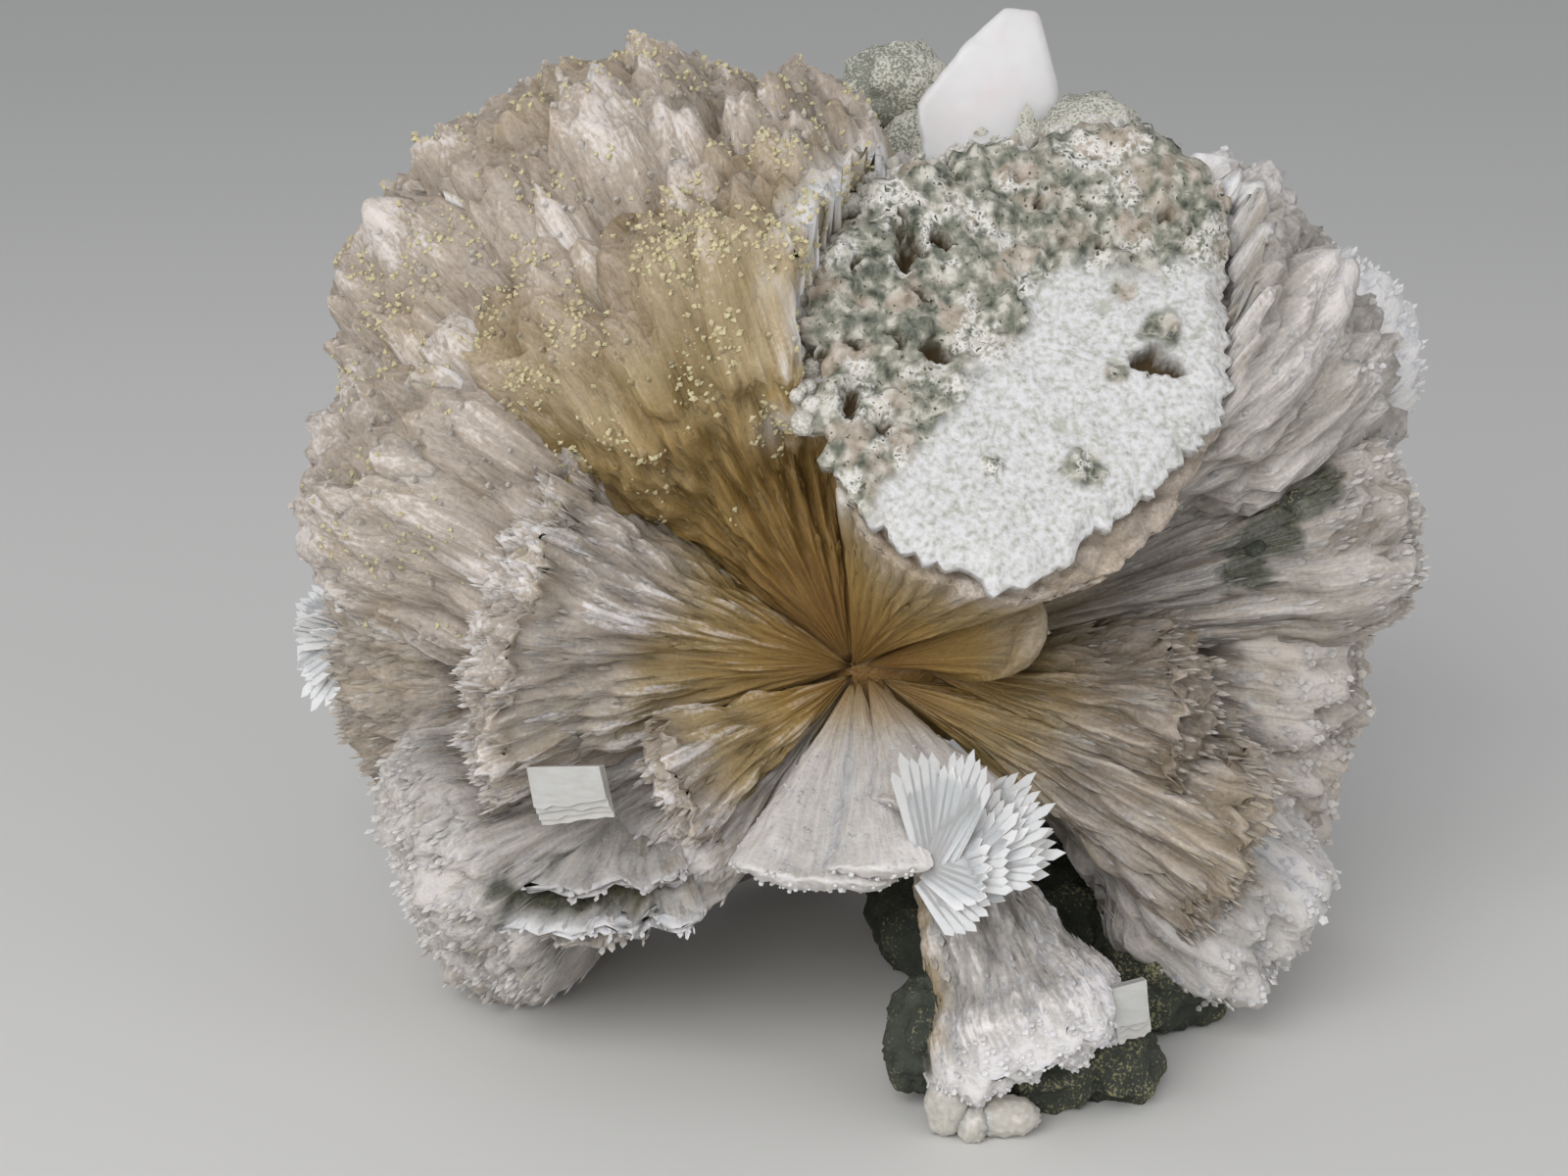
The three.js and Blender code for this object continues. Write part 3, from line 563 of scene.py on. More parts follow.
def shaped(name, seed, spacing):
    """A sheaf's places and faces in millimetres, and what is known of each of its vertices."""
    sheaf = SHEAVES[name]
    finish = FINISHES[sheaf["finish"]]
    length, spread = axes_of(sheaf)[4:]
    half = length * spread
    start = BUD_START if "part_of" in sheaf else 0.0
    count = max(FEWEST_SQUARES, int(CAP_SQUARES * half.mean() / spacing))
    rings = max(FEWEST_RINGS, int((SIDE_LENGTH - start) * length / spacing / ROW_STRETCH))
    x, y, share, faces = grid_of_sheaf(count, rings, start)
    depth_sum = sum(level[2] for level in finish["levels"])
    places, way = sheaf_places(name, x, y, share)
    places -= way * (share * KNOB_LIFT * LIFT_BACK * depth_sum)[:, None]
    faces = turned_outwards(places, faces)
    normal = normals_of(places, triangles_of(faces))
    reach = share * length
    cap = np.zeros(len(x)) if name == "bouquet" else smooth(share, *CAP_SHARES)
    sugar = smooth(share, *finish["sugar"])
    across = np.stack([x * half[0], y * half[1]], axis=1)
    spots = np.concatenate([across, reach[:, None]], axis=1) / LOCK_WAVE_LENGTH
    swayed = across + LOCK_WAVE * np.stack([uneven(spots, seed + 60 + k, 2) for k in range(2)], axis=1)
    places += way * (finish["ragged"] * ragged_ends(swayed, seed) * smooth(share, *RAG_SHARES))[:, None]
    height, tone = relief_of(finish, across, reach, length, sugar, seed)
    # How high a place is between groove and ridge. The colour turns it into painted shade in the grooves and
    # painted light on the ridges.
    relief_shading = np.clip(RELIEF_SHADING_LEVEL + finish.get("painted_shade_contrast", 1) * height / depth_sum, 0, 1)
    height += sugar * KNOB_LIFT * depth_sum
    grow_in = ROOT_RELIEF + (1 - ROOT_RELIEF) * smooth(share, *GROW_SHARES)
    move = way * cap[:, None] + normal * (1 - cap)[:, None]
    places = places + move * (height * grow_in)[:, None]
    known = SimpleNamespace(
        x=x, share=share, way=way, reach=reach, cap=cap, sugar=sugar, swayed=swayed, relief_shading=relief_shading, tone=tone
    )
    return places, faces, known


trial = shaped("apron_left", 3, 1.0)
print("apron at 1 mm:", len(trial[0]), "vertices,", len(trial[1]), "faces")

# %% [markdown]
# The colours differ from sheaf to sheaf on the real specimen, because each was stained and dusted by what
# seeped past it. Light falls on them unevenly too, and some are painted darker or lighter for it, as painted
# shade and light. The next table has one row for each sheaf that isn't the usual. Here and there dark rock
# is grown into a sheaf, and clay has dusted what is next to the crust. The gap under the low left ledges is
# painted the same dark colour, as painted shade.

# %% How the sheaves' colours differ
# How far the ochre stain goes, as a share of the usual reach; how greyish white the sheaf is, not cream; how
# much darker or lighter than the rest it is painted, as painted shade and light; how white its ends are, and
# all of it; and its crumbs to a square mm.
USUAL_COLOURS = dict(stain=1, pale=0.5, painted_shade_and_light=0, white_ends=0, white_all=0, crumbs=0)
COLOURS = {
    "crown_front": dict(stain=2, pale=0, painted_shade_and_light=-1, crumbs=7),
    "crown_left": dict(stain=1.8, pale=0.1, painted_shade_and_light=-0.5, crumbs=4),
    "crown_top": dict(stain=1.9, pale=0.1, painted_shade_and_light=-0.7, crumbs=4),
    "shoulder_left": dict(pale=0.2, painted_shade_and_light=-0.4, crumbs=1.8),
    "petal_left": dict(stain=1.05, pale=0.3, painted_shade_and_light=0.4),
    "petal_left_back": dict(stain=1.2, pale=0.35, painted_shade_and_light=-0.5),
    "petal_low_left": dict(stain=0.9, pale=0.25, painted_shade_and_light=0.4),
    "lobe_low_left": dict(stain=0.6, pale=0.8),
    "heel_left": dict(pale=0.7),
    "ledge_low_left": dict(stain=0.4, pale=0.7),
    "apron_left": dict(stain=0.5, pale=0.9, painted_shade_and_light=0.8, white_ends=0.4, white_all=0.25),
    "apron_right": dict(stain=0.5, pale=0.9, painted_shade_and_light=0.8, white_ends=0.4, white_all=0.25),
    "apron_behind": dict(stain=0.6, pale=0.9, painted_shade_and_light=0.7, white_all=0.2),
    "leg": dict(stain=0.75, pale=0.9, painted_shade_and_light=0.4, white_ends=0.45),
    "petal_right": dict(pale=0.3, painted_shade_and_light=-1.1),
    "petal_right_low": dict(stain=0.95, pale=0.3, painted_shade_and_light=-0.5),
    "lobe_low_right": dict(pale=0.7, white_ends=0.3),
    "lobe_right_back": dict(stain=1.2),
    "wedge_right": dict(pale=0.6, painted_shade_and_light=-0.4),
    "bouquet": dict(stain=1.15, pale=0.1),
    "shoulder_right": dict(pale=0.8, painted_shade_and_light=-0.4),
    "spray_right": dict(pale=1, painted_shade_and_light=1, white_ends=0.8),
    "lip_right": dict(stain=1.1, pale=0.45, painted_shade_and_light=-0.4),
    "ledge_top": dict(stain=0, pale=0.7, white_ends=0.35),
    "ledge_middle": dict(stain=0, pale=0.8, white_ends=0.8),
    "ledge_bottom": dict(stain=0, pale=0.4),
}
ROCK_AND_SHADE = {  # the two ends of each dark streak in a sheaf, and half its width
    # On the wedge and the leg the streaks are dark rock grown in.
    "wedge_right": ((20.8, -1, 6), (25, 0, 10.6), 1.5),
    "leg": ((2.5, -14.5, -15.5), (3, -14.5, -11.5), 1.2),
    # Painted shade: the dark gap under the low left ledges, in the rock's colour.
    "ledge_middle": ((-18, -9.7, -8.6), (-10.5, -9.7, -8.1), 1.1),
    "ledge_low_left": ((-17.5, -9.3, -8.8), (-10, -9.8, -8.4), 1.3),
    "lobe_low_left": ((-18.5, -9.3, -8.7), (-10, -9.8, -8.2), 1.2),
}
ROCK_AND_SHADE_RAG = 1.3  # how ragged its outline is, in millimetres
ROCK_AND_SHADE_RAG_WIDTH = 1.1
ROCK_AND_SHADE_DEPTH = 0.4  # distances through the sheaf count less, so that a streak reaches its surface
ROCK_AND_SHADE_EDGE = (0.7, 1.1)  # where a streak starts to fade, and ends, as shares of half its width
DUST_OUT = (0.5, 3.5)  # how far past the crust's rim its dust starts to thin, and ends
DUST_HIGH = (-5, -1)  # how high over the broken face the dust begins, and is full
DUST_SIDE = (-6, 0)  # the same, on the way across the face to its upper left
DUST_PATCH = 1.5
DUST_EDGE = (-0.4, 0.4)


def rock_and_shade_at(places, owner):
    """How dark a sheaf's streak makes each place, from 0 to 1: rock grown in, and painted shade at the
    ledges.
    """
    if owner not in ROCK_AND_SHADE:
        return np.zeros(len(places))
    start, end, radius = (np.array(v) for v in ROCK_AND_SHADE[owner])
    length = np.linalg.norm(end - start)
    along = (end - start) / length
    away = places - NUCLEUS - start
    away = away - np.outer(np.clip(away @ along, 0, length), along)
    away = np.linalg.norm(away * (1, ROCK_AND_SHADE_DEPTH, 1), axis=1)
    away = away + ROCK_AND_SHADE_RAG * uneven(places / ROCK_AND_SHADE_RAG_WIDTH, 95, 3)
    return 1 - smooth(away, radius * ROCK_AND_SHADE_EDGE[0], radius * ROCK_AND_SHADE_EDGE[1])


def chalk_dust(places, high, right, up):
    """Clay dust beside the crust, on its upper left side, which thins out below it: from 0 to 1."""
    beside = np.hypot(right, up) - crust_reach(np.arctan2(up, right))
    dust = (1 - smooth(beside, *DUST_OUT)) * smooth(high, *DUST_HIGH) * smooth(up - right, *DUST_SIDE)
    return dust * smooth(uneven(places / DUST_PATCH, 92), *DUST_EDGE)


# The ledges' streaks are painted shade, in the same dark colour as the rock.
print("streaks of rock in", ", ".join(ROCK_AND_SHADE))

# %% [markdown]
# Dressing a sheaf cuts it off at the broken face, and gives each vertex the values that the laths and the
# colours are made from. No laths are set where the sheaf is cut, lies on the table, or is inside another.

# %% Dressing a sheaf
LATHS_UNDER_CRUST = 2.5  # how far below the broken face the bouquet's laths stop
CRUST_BED = 0.3  # how far below the broken face the sheaves are cut, where the crust covers them
CRUST_MARGIN = 0.6  # how far round the crust they are cut too
FLOOR_CLEAR = 0.8  # no laths are set lower than this above the table
HIDDEN_MARGIN = 0.05  # a place is hidden when it is this far inside another sheaf, as a share of its size
LATHS_BEGIN = (4, 11)  # how far from the middle the laths begin, and where they are as dense as they get
END_ON = (0.2, 0.75)  # how much a face looks along the laths: none are end-on, and all of them
WARM_REACH = 15.0  # how far from the middle the ochre stain goes
WHITE_SHARES = (0.88, 0.97)  # where along a sheaf its tips get white
ALL_WHITE_SHARES = (0.15, 0.6)  # and where one that is white all over gets so
SEAM_WARMTH = 0.6  # a seam of ochre runs down the leg's left side
SEAM_ACROSS = (0.55, 0.9)  # where it begins and is full, as shares of half the leg's breadth
SEAM_ALONG = (0.4, 0.6)  # and of its length
CRUMB_DRIFT = 2.2  # across a drift of crumbs
CRUMB_EDGE = (0.06, 0.26)  # the unevenness at which a drift begins, and is full
STRAND_LENGTH = 9  # how much longer than wide the streaks of colour are
STRAND_SHIFT = 31.0  # how far the streaks are moved from one sheaf to the next, so that they differ


def dress(name, seed, spacing):
    """One sheaf's places, faces and vertex values, all in millimetres."""
    sheaf = SHEAVES[name]
    owner = sheaf.get("part_of", name)
    finish = FINISHES[sheaf["finish"]]
    colours = USUAL_COLOURS | COLOURS.get(owner, {})
    places, faces, known = shaped(name, seed, spacing)
    high, right, up = above_break(places)
    cut = (np.hypot(right, up) < crust_reach(np.arctan2(up, right)) + CRUST_MARGIN) & (high > -CRUST_BED)
    places = np.where(cut[:, None], places - np.outer(high + CRUST_BED, BREAK_NORMAL), places)
    cut |= (high > -LATHS_UNDER_CRUST) & (name == "bouquet")
    hidden = places[:, 2] < FLOOR_CLEAR
    for other in BIG_SHEAVES:
        if other not in (name, owner):
            hidden |= hidden_in(other, places, HIDDEN_MARGIN)
    distance = np.linalg.norm(places - NUCLEUS, axis=1)
    faced = normals_of(places, triangles_of(faces))
    end_on = np.maximum(smooth((faced * known.way).sum(1), *END_ON), known.sugar)
    side_laths, cap_laths = np.array(finish["side"]), np.array(finish["cap"])
    lath = side_laths + np.outer(end_on, cap_laths - side_laths)
    warm_reach = WARM_REACH * colours["stain"] + 0.01  # never 0, so that it can be divided by
    warm = np.clip(1 - distance / warm_reach, 0, 1)
    if name == "leg":
        seam = SEAM_WARMTH * smooth(-known.x, *SEAM_ACROSS) * (1 - known.cap)
        warm += seam * smooth(known.share, *SEAM_ALONG)
    white = colours["white_ends"] * smooth(known.share, *WHITE_SHARES)
    white = np.maximum(white, colours["white_all"] * smooth(known.share, *ALL_WHITE_SHARES))
    drifts = smooth(uneven(places / CRUMB_DRIFT, 91, 4), *CRUMB_EDGE)
    streaks = np.concatenate([known.swayed, (known.reach / STRAND_LENGTH)[:, None]], axis=1)
    values = {
        "laths": lath[:, 0] * smooth(distance, *LATHS_BEGIN) * ~(cut | hidden),
        "lath_size": lath[:, 1:],
        "grow": known.way,
        "strand": streaks + STRAND_SHIFT * seed,
        "warm": warm,
        "pale": np.full(len(places), colours["pale"], float),
        "white": np.maximum(white, chalk_dust(places, high, right, up)),
        "painted_highlight_share": np.full(len(places), finish.get("painted_highlight_share", USUAL_PAINTED_HIGHLIGHT_SHARE), float),
        "rock_and_shade": rock_and_shade_at(places, owner),
        "relief_shading": known.relief_shading,
        # The bundles' random tone, and the sheaf's painted shade and light on top of it.
        "tone": known.tone + colours["painted_shade_and_light"],
        "crumbs": colours["crumbs"] * known.sugar * drifts * ~hidden,
    }
    return places, faces, values


trial = dress("apron_left", 3, 1.0)[2]
print("values of a vertex:", ", ".join(trial))

# %% [markdown]
# Numpy arrays become a Blender mesh in one call. The values per vertex become named attributes, which both
# the Geometry Nodes and the materials read.


# %% Arrays to a mesh
def mesh_piece(name, places, faces, values=(), flat=False):
    """An object whose mesh holds places in millimetres, as metres, with its values as attributes."""
    mesh = bpy.data.meshes.new(name)
    mesh.from_pydata((np.clip(places, BOX_LOW, BOX_HIGH) * MM).tolist(), [], faces)
    for key, value in dict(values).items():
        kind = "FLOAT_VECTOR" if value.ndim == 2 else "FLOAT"
        attribute = mesh.attributes.new(key, kind, "POINT")
        attribute.data.foreach_set("vector" if value.ndim == 2 else "value", value.astype(np.float32).ravel())
    mesh.shade_flat() if flat else mesh.shade_smooth()
    piece = bpy.data.objects.new(name, mesh)
    bpy.context.scene.collection.objects.link(piece)
    return piece


def joined(parts):
    """Several (places, faces, values) as one."""
    places = np.concatenate([p for p, _, _ in parts])
    starts = np.cumsum([0] + [len(p) for p, _, _ in parts])
    faces = [tuple(v + int(start) for v in face) for start, (_, fs, _) in zip(starts, parts) for face in fs]
    keys = parts[0][2].keys()
    return places, faces, {k: np.concatenate([v[k] for _, _, v in parts]) for k in keys}


print("two triangles as one mesh:", joined([(np.zeros((3, 3)), [(0, 1, 2)], {})] * 2)[1])

# %% [markdown]
# Colours are picked as sRGB hex values, as on a paint chart, and Blender wants them linear. One function
# turns them. One more adds any node to any tree, with its settings, values and links. The kinds of node have
# long names, so the ones that are used often get a short one.


# %% Colours and nodes
def colour(hex_code):
    """An sRGB hex colour as a linear one."""
    parts = [int(hex_code[i : i + 2], 16) / 255 for i in (1, 3, 5)]
    return (*(c / 12.92 if c <= 0.04045 else ((c + 0.055) / 1.055) ** 2.4 for c in parts), 1.0)


def add_node(tree, kind, settings=(), values=(), links=()):
    """A new node with its settings, its inputs' values, and links into its inputs."""
    node = tree.nodes.new(kind)
    for key, value in dict(settings).items():
        setattr(node, key, value)
    for key, value in dict(values).items():
        node.inputs[key].default_value = value
    for key, socket in dict(links).items():
        tree.links.new(socket, node.inputs[key])
    return node


ATTRIBUTE = "ShaderNodeAttribute"
NOISE = "ShaderNodeTexNoise"
RAMP = "ShaderNodeValToRGB"
RANGE = "ShaderNodeMapRange"
MATH = "ShaderNodeMath"
VECTOR_MATH = "ShaderNodeVectorMath"
MIX = "ShaderNodeMix"
RGBA = {"data_type": "RGBA"}  # with this, a Mix node's inputs 6 and 7 and its output 2 are its colours
TIMES_PLUS = {"operation": "MULTIPLY_ADD"}  # input 0 times input 1, plus input 2


def new_material(name, **values):
    """A material with only its output and a Principled shader, and its tree."""
    material = bpy.data.materials.new(name)
    material.use_nodes = True
    tree = material.node_tree
    shader = next(n for n in tree.nodes if n.type == "BSDF_PRINCIPLED")
    for key, value in values.items():
        shader.inputs[key.replace("_", " ")].default_value = value
    return material, tree, shader


def set_ramp(node, stops):
    """Gives a colour ramp its stops, each a place from 0 to 1 and a hex colour. Returns its output."""
    ramp = node.color_ramp
    while len(ramp.elements) < len(stops):
        ramp.elements.new(1.0)
    for element, (place, code) in zip(ramp.elements, stops):
        element.position = place
        element.color = colour(code)
    return node.outputs[0]


def set_skin(tree, shader, skin, grain, strength=0.6, depth=0.2):
    """Links a shader's colour, and a bump from a grain that is up to a depth in millimetres."""
    tree.links.new(skin, shader.inputs["Base Color"])
    bump = add_node(
        tree, "ShaderNodeBump", values={"Strength": strength, "Distance": depth * MM}, links={"Height": grain}
    )
    tree.links.new(bump.outputs[0], shader.inputs["Normal"])


print("cream as a linear colour:", np.round(colour("#c0b2a4"), 3))

# %% [markdown]
# Stilbite is a hydrous silicate that grows as thin laths with a pearly cleavage. Fresh it is colourless to
# white. Iron stains it ochre near the middle, where the laths are packed, and the tips scatter the light
# and look white. So the colour goes from ochre at the middle through cream to white at the tips. The laths
# are 0.1 to 0.3 mm wide: the bump and the streaks follow the sheaf's own directions, which the mesh keeps
# as the attribute strand. A little light goes into it and comes out again, which softens the grooves.

# %% Material: stilbite laths, naturally grown
STREAK_WIDTH = 0.32  # millimetres from one streak to the next
GRAIN_WIDTH = 0.25
PATCH_WIDTH = 6.0


def stilbite_material():
    """Laths from ochre through cream to white, with streaks, painted shade and highlights, and dark streaks.
    """
    material, tree, shader = new_material(
        "stilbite_grown_laths", Roughness=0.42, IOR=1.5, Subsurface_Weight=0.35,
        Subsurface_Radius=(1.0, 0.75, 0.5), Subsurface_Scale=1.2 * MM,
    )
    warm, relief_shading, tip, tone, pale, painted_highlight_share, white, rock_and_shade = (
        add_node(tree, ATTRIBUTE, {"attribute_name": name}).outputs["Fac"]
        for name in ("warm", "relief_shading", "tip", "tone", "pale", "painted_highlight_share", "white", "rock_and_shade")
    )
    strand = add_node(tree, ATTRIBUTE, {"attribute_name": "strand"}).outputs["Vector"]
    place = add_node(tree, "ShaderNodeTexCoord").outputs["Object"]
    streaks, grain, patches = (
        add_node(tree, NOISE, values=values, links={"Vector": vector}).outputs["Fac"]
        for vector, values in (
            (strand, {"Scale": 1 / STREAK_WIDTH, "Detail": 3, "Distortion": 0.6}),
            (place, {"Scale": 1 / (GRAIN_WIDTH * MM), "Detail": 2}),
            (place, {"Scale": 1 / (PATCH_WIDTH * MM), "Detail": 3}),
        )
    )
    # The stain: ochre at the middle, uneven in patches. Each colour comes darker for the grooves, as painted
    # shade, and lighter for the ridges, as painted light.
    warmth = add_node(tree, MATH, TIMES_PLUS, {1: 0.5, 2: -0.25}, {0: patches}).outputs[0]
    warmth = add_node(
        tree, MATH, {"operation": "ADD", "use_clamp": True}, links={0: warmth, 1: warm}
    ).outputs[0]
    deep, high = (add_node(tree, RAMP, links={"Fac": warmth}) for _ in range(2))
    deep = set_ramp(deep, [(0, "#7f705f"), (0.25, "#847049"), (0.55, "#7f6535"), (0.9, "#745429")])
    high = set_ramp(high, [(0, "#c0b2a4"), (0.25, "#b5a27d"), (0.55, "#ad9058"), (0.9, "#9a7942")])
    # The rise says where between groove and ridge a place is, which sets its painted shade and light.
    # Streaks, grain and tone shift it a little.
    rise = add_node(tree, MATH, TIMES_PLUS, {1: 0.9, 2: -0.45}, {0: streaks}).outputs[0]
    rise = add_node(tree, MATH, {"operation": "ADD"}, links={0: rise, 1: relief_shading}).outputs[0]
    rise = add_node(tree, MATH, TIMES_PLUS, {1: 0.5}, {0: grain, 2: rise}).outputs[0]
    rise = add_node(tree, MATH, TIMES_PLUS, {1: 0.3}, {0: tone, 2: rise}).outputs[0]
    rise = add_node(tree, MATH, {"operation": "SUBTRACT"}, {1: 0.25}, {0: rise}).outputs[0]
    body = add_node(tree, MIX, RGBA, links={0: rise, 6: deep, 7: high}).outputs[2]
    # Where there is no stain, some sheaves are grey instead of cream, with the same painted shade in the
    # grooves.
    less = {"operation": "SUBTRACT", "use_clamp": True}
    cool = add_node(tree, MATH, less, {0: 1.0}, {1: warmth}).outputs[0]
    cold = add_node(tree, MATH, less, links={0: pale, 1: warmth}).outputs[0]
    grey = add_node(tree, MIX, RGBA, {6: colour("#7b766e"), 7: colour("#d0ccc9")}, {0: rise}).outputs[2]
    body = add_node(tree, MIX, RGBA, links={0: cold, 6: body, 7: grey}).outputs[2]
    # Painted pearly highlights on the highest ridges.
    painted_glint = {"From Min": 0.72, "From Max": 1.0, "To Max": 0.85}
    painted_glint = add_node(tree, RANGE, values=painted_glint, links={"Value": rise}).outputs[0]
    painted_glint = add_node(tree, MATH, {"operation": "MULTIPLY"}, links={0: painted_glint, 1: cool}).outputs[0]
    painted_glint = add_node(tree, MATH, {"operation": "MULTIPLY"}, links={0: painted_glint, 1: painted_highlight_share}).outputs[0]
    # The laths' tips are white where there is no stain.
    clean = {"operation": "MULTIPLY_ADD", "use_clamp": True}
    clean = add_node(tree, MATH, clean, {1: -1.0, 2: 0.4}, {0: warmth}).outputs[0]
    whiten = add_node(tree, MATH, {"operation": "MULTIPLY"}, links={0: tip, 1: clean}).outputs[0]
    skin = body
    for amount, code in ((painted_glint, "#ebe5e4"), (whiten, "#ece7e3"), (white, "#efedec")):
        skin = add_node(tree, MIX, RGBA, {7: colour(code)}, {0: amount, 6: skin}).outputs[2]
    # Dark streaks: rock grown into the wedge and the leg, and painted shade in the gap under the low left
    # ledges.
    rock = add_node(tree, MIX, RGBA, {6: colour("#23261f"), 7: colour("#6b6a5a")}, {0: grain}).outputs[2]
    skin = add_node(tree, MIX, RGBA, links={0: rock_and_shade, 6: skin, 7: rock}).outputs[2]
    relief = add_node(tree, MATH, TIMES_PLUS, {1: 0.6}, {0: grain, 2: streaks}).outputs[0]
    set_skin(tree, shader, skin, relief, strength=0.5)
    return material


STILBITE = stilbite_material()
print("stilbite nodes:", len(STILBITE.node_tree.nodes))

# %% [markdown]
# A lath is a thin flat blade with a blunt point. Here it is one unit long, wide and thick. Its root is
# below its origin, so that it stays buried. It has only 8 triangles, because there are many thousands: from
# one point to a ring of four, and from the ring to another point. The crumbs further on are made so too.


# %% One lath
def eight_sided(name, places, tips=None):
    """A closed shape from a low point, a ring of four and a high point, and how near its tip each is."""
    ring = (1, 2, 3, 4)
    after = (2, 3, 4, 1)
    faces = [(0, b, a) for a, b in zip(ring, after)]
    faces += [(a, b, 5) for a, b in zip(ring, after)]
    mesh = bpy.data.meshes.new(name)
    mesh.from_pydata(places, [], faces)
    if tips:
        mesh.attributes.new("tip", "FLOAT", "POINT").data.foreach_set("value", tips)
    shape = bpy.data.objects.new(name, mesh)
    shape.hide_render = True
    bpy.context.scene.collection.objects.link(shape)
    return shape


unit_lath = eight_sided(
    "unit_lath",
    [
        (0, -0.2, -0.5), (-0.5, -0.5, 0.24), (0.5, -0.5, 0.3), (0.5, 0.5, 0.26), (-0.5, 0.5, 0.32),
        (0.1, 0, 0.5),
    ],
    [0.0, 0.35, 0.35, 0.35, 0.35, 0.7],
)
print("lath faces:", len(unit_lath.data.polygons))

# %% [markdown]
# The tree scatters points over a sheaf, as densely as its attribute says. At each point it sets a lath,
# along the growth direction and leaning a little off the surface, with its flat side to the surface. Laths
# could be copied in a Python loop too, but the tree is quicker and its sizes stay named inputs.

# %% Geometry Nodes: what can be set
LATH_INPUTS = (
    ("Surface", "NodeSocketGeometry", None),
    ("Lath", "NodeSocketObject", None),
    ("Finish", "NodeSocketMaterial", None),
    ("Share of laths", "NodeSocketFloat", 1.0),
    ("Lean", "NodeSocketFloat", 0.03),
    ("Wobble", "NodeSocketFloat", 0.07),
    ("Smallest", "NodeSocketFloat", 0.6),
    ("Largest", "NodeSocketFloat", 1.35),
    ("Seed", "NodeSocketInt", 1),
    ("With surface", "NodeSocketBool", True),
)


def add_inputs(tree, inputs):
    """Gives a tree its named inputs with their usual values. Returns their identifiers."""
    sockets = {}
    for name, kind, value in inputs:
        socket = tree.interface.new_socket(name=name, in_out="INPUT", socket_type=kind)
        if value is not None:
            socket.default_value = value
        sockets[name] = socket.identifier
    return sockets


print("inputs:", ", ".join(name for name, _, _ in LATH_INPUTS))

# %% [markdown]
# In the tree, the points get the density that the surface's own attribute gives. The growth direction, a
# little of the surface's normal and a random shake add up to where a lath aims. Two turns bring it there:
# first its length, then its flat side. Realize Instances makes plain triangles of the copies.


# %% Geometry Nodes: laths on a surface
def lath_tree():
    """The node tree, and the identifiers of its inputs."""
    tree = bpy.data.node_groups.new("laths_on_a_surface", "GeometryNodeTree")
    sockets = add_inputs(tree, LATH_INPUTS)
    tree.interface.new_socket(name="Surface", in_out="OUTPUT", socket_type="NodeSocketGeometry")
    given = add_node(tree, "NodeGroupInput").outputs
    named = "GeometryNodeInputNamedAttribute"
    density = add_node(tree, named, {"data_type": "FLOAT"}, {"Name": "laths"}).outputs[0]
    share = given["Share of laths"]
    density = add_node(tree, MATH, {"operation": "MULTIPLY"}, links={0: density, 1: share}).outputs[0]
    density = add_node(tree, MATH, {"operation": "DIVIDE"}, {1: MM * MM}, {0: density}).outputs[0]
    points = add_node(
        tree,
        "GeometryNodeDistributePointsOnFaces",
        links={"Mesh": given["Surface"], "Density": density, "Seed": given["Seed"]},
    ).outputs
    grow, size = (
        add_node(tree, named, {"data_type": "FLOAT_VECTOR"}, {"Name": name}).outputs[0]
        for name in ("grow", "lath_size")
    )
    scaled = {"operation": "SCALE"}
    added = {"operation": "ADD"}
    lean = {0: points["Normal"], "Scale": given["Lean"]}
    lean = add_node(tree, VECTOR_MATH, scaled, links=lean).outputs[0]
    shaken = add_node(
        tree,
        "FunctionNodeRandomValue",
        {"data_type": "FLOAT_VECTOR"},
        {0: (-0.5, -0.5, -0.5), 1: (0.5, 0.5, 0.5)},
        {"Seed": given["Seed"]},
    ).outputs[0]
    shaken = add_node(tree, VECTOR_MATH, scaled, links={0: shaken, "Scale": given["Wobble"]}).outputs[0]
    aim = add_node(tree, VECTOR_MATH, added, links={0: grow, 1: lean}).outputs[0]
    aim = add_node(tree, VECTOR_MATH, added, links={0: aim, 1: shaken}).outputs[0]
    face_up = add_node(tree, VECTOR_MATH, added, links={0: points["Normal"], 1: shaken}).outputs[0]
    align = "FunctionNodeAlignRotationToVector"
    turn = add_node(tree, align, {"axis": "Z"}, links={"Vector": aim}).outputs[0]
    turn = add_node(
        tree, align, {"axis": "Y", "pivot_axis": "Z"}, links={"Rotation": turn, "Vector": face_up}
    ).outputs[0]
    sizes = add_node(
        tree,
        "FunctionNodeRandomValue",
        {"data_type": "FLOAT"},
        links={2: given["Smallest"], 3: given["Largest"], "Seed": given["Seed"]},
    ).outputs[1]
    size = add_node(tree, VECTOR_MATH, scaled, links={0: size, "Scale": sizes}).outputs[0]
    size = add_node(tree, VECTOR_MATH, scaled, {"Scale": MM}, {0: size}).outputs[0]
    lath = add_node(tree, "GeometryNodeObjectInfo", links={"Object": given["Lath"]}).outputs["Geometry"]
    laths = add_node(
        tree,
        "GeometryNodeInstanceOnPoints",
        links={"Points": points["Points"], "Instance": lath, "Rotation": turn, "Scale": size},
    ).outputs[0]
    whole = add_node(tree, "GeometryNodeJoinGeometry").inputs[0]
    tree.links.new(laths, whole)
    surface = add_node(
        tree,
        "GeometryNodeSwitch",
        {"input_type": "GEOMETRY"},
        links={"Switch": given["With surface"], "True": given["Surface"]},
    ).outputs[0]
    tree.links.new(surface, whole)
    real = add_node(tree, "GeometryNodeRealizeInstances", links={0: whole.node.outputs[0]}).outputs[0]
    dressed = {"Geometry": real, "Material": given["Finish"]}
    dressed = add_node(tree, "GeometryNodeSetMaterial", links=dressed).outputs[0]
    add_node(tree, "NodeGroupOutput", links={0: dressed})
    return tree, sockets


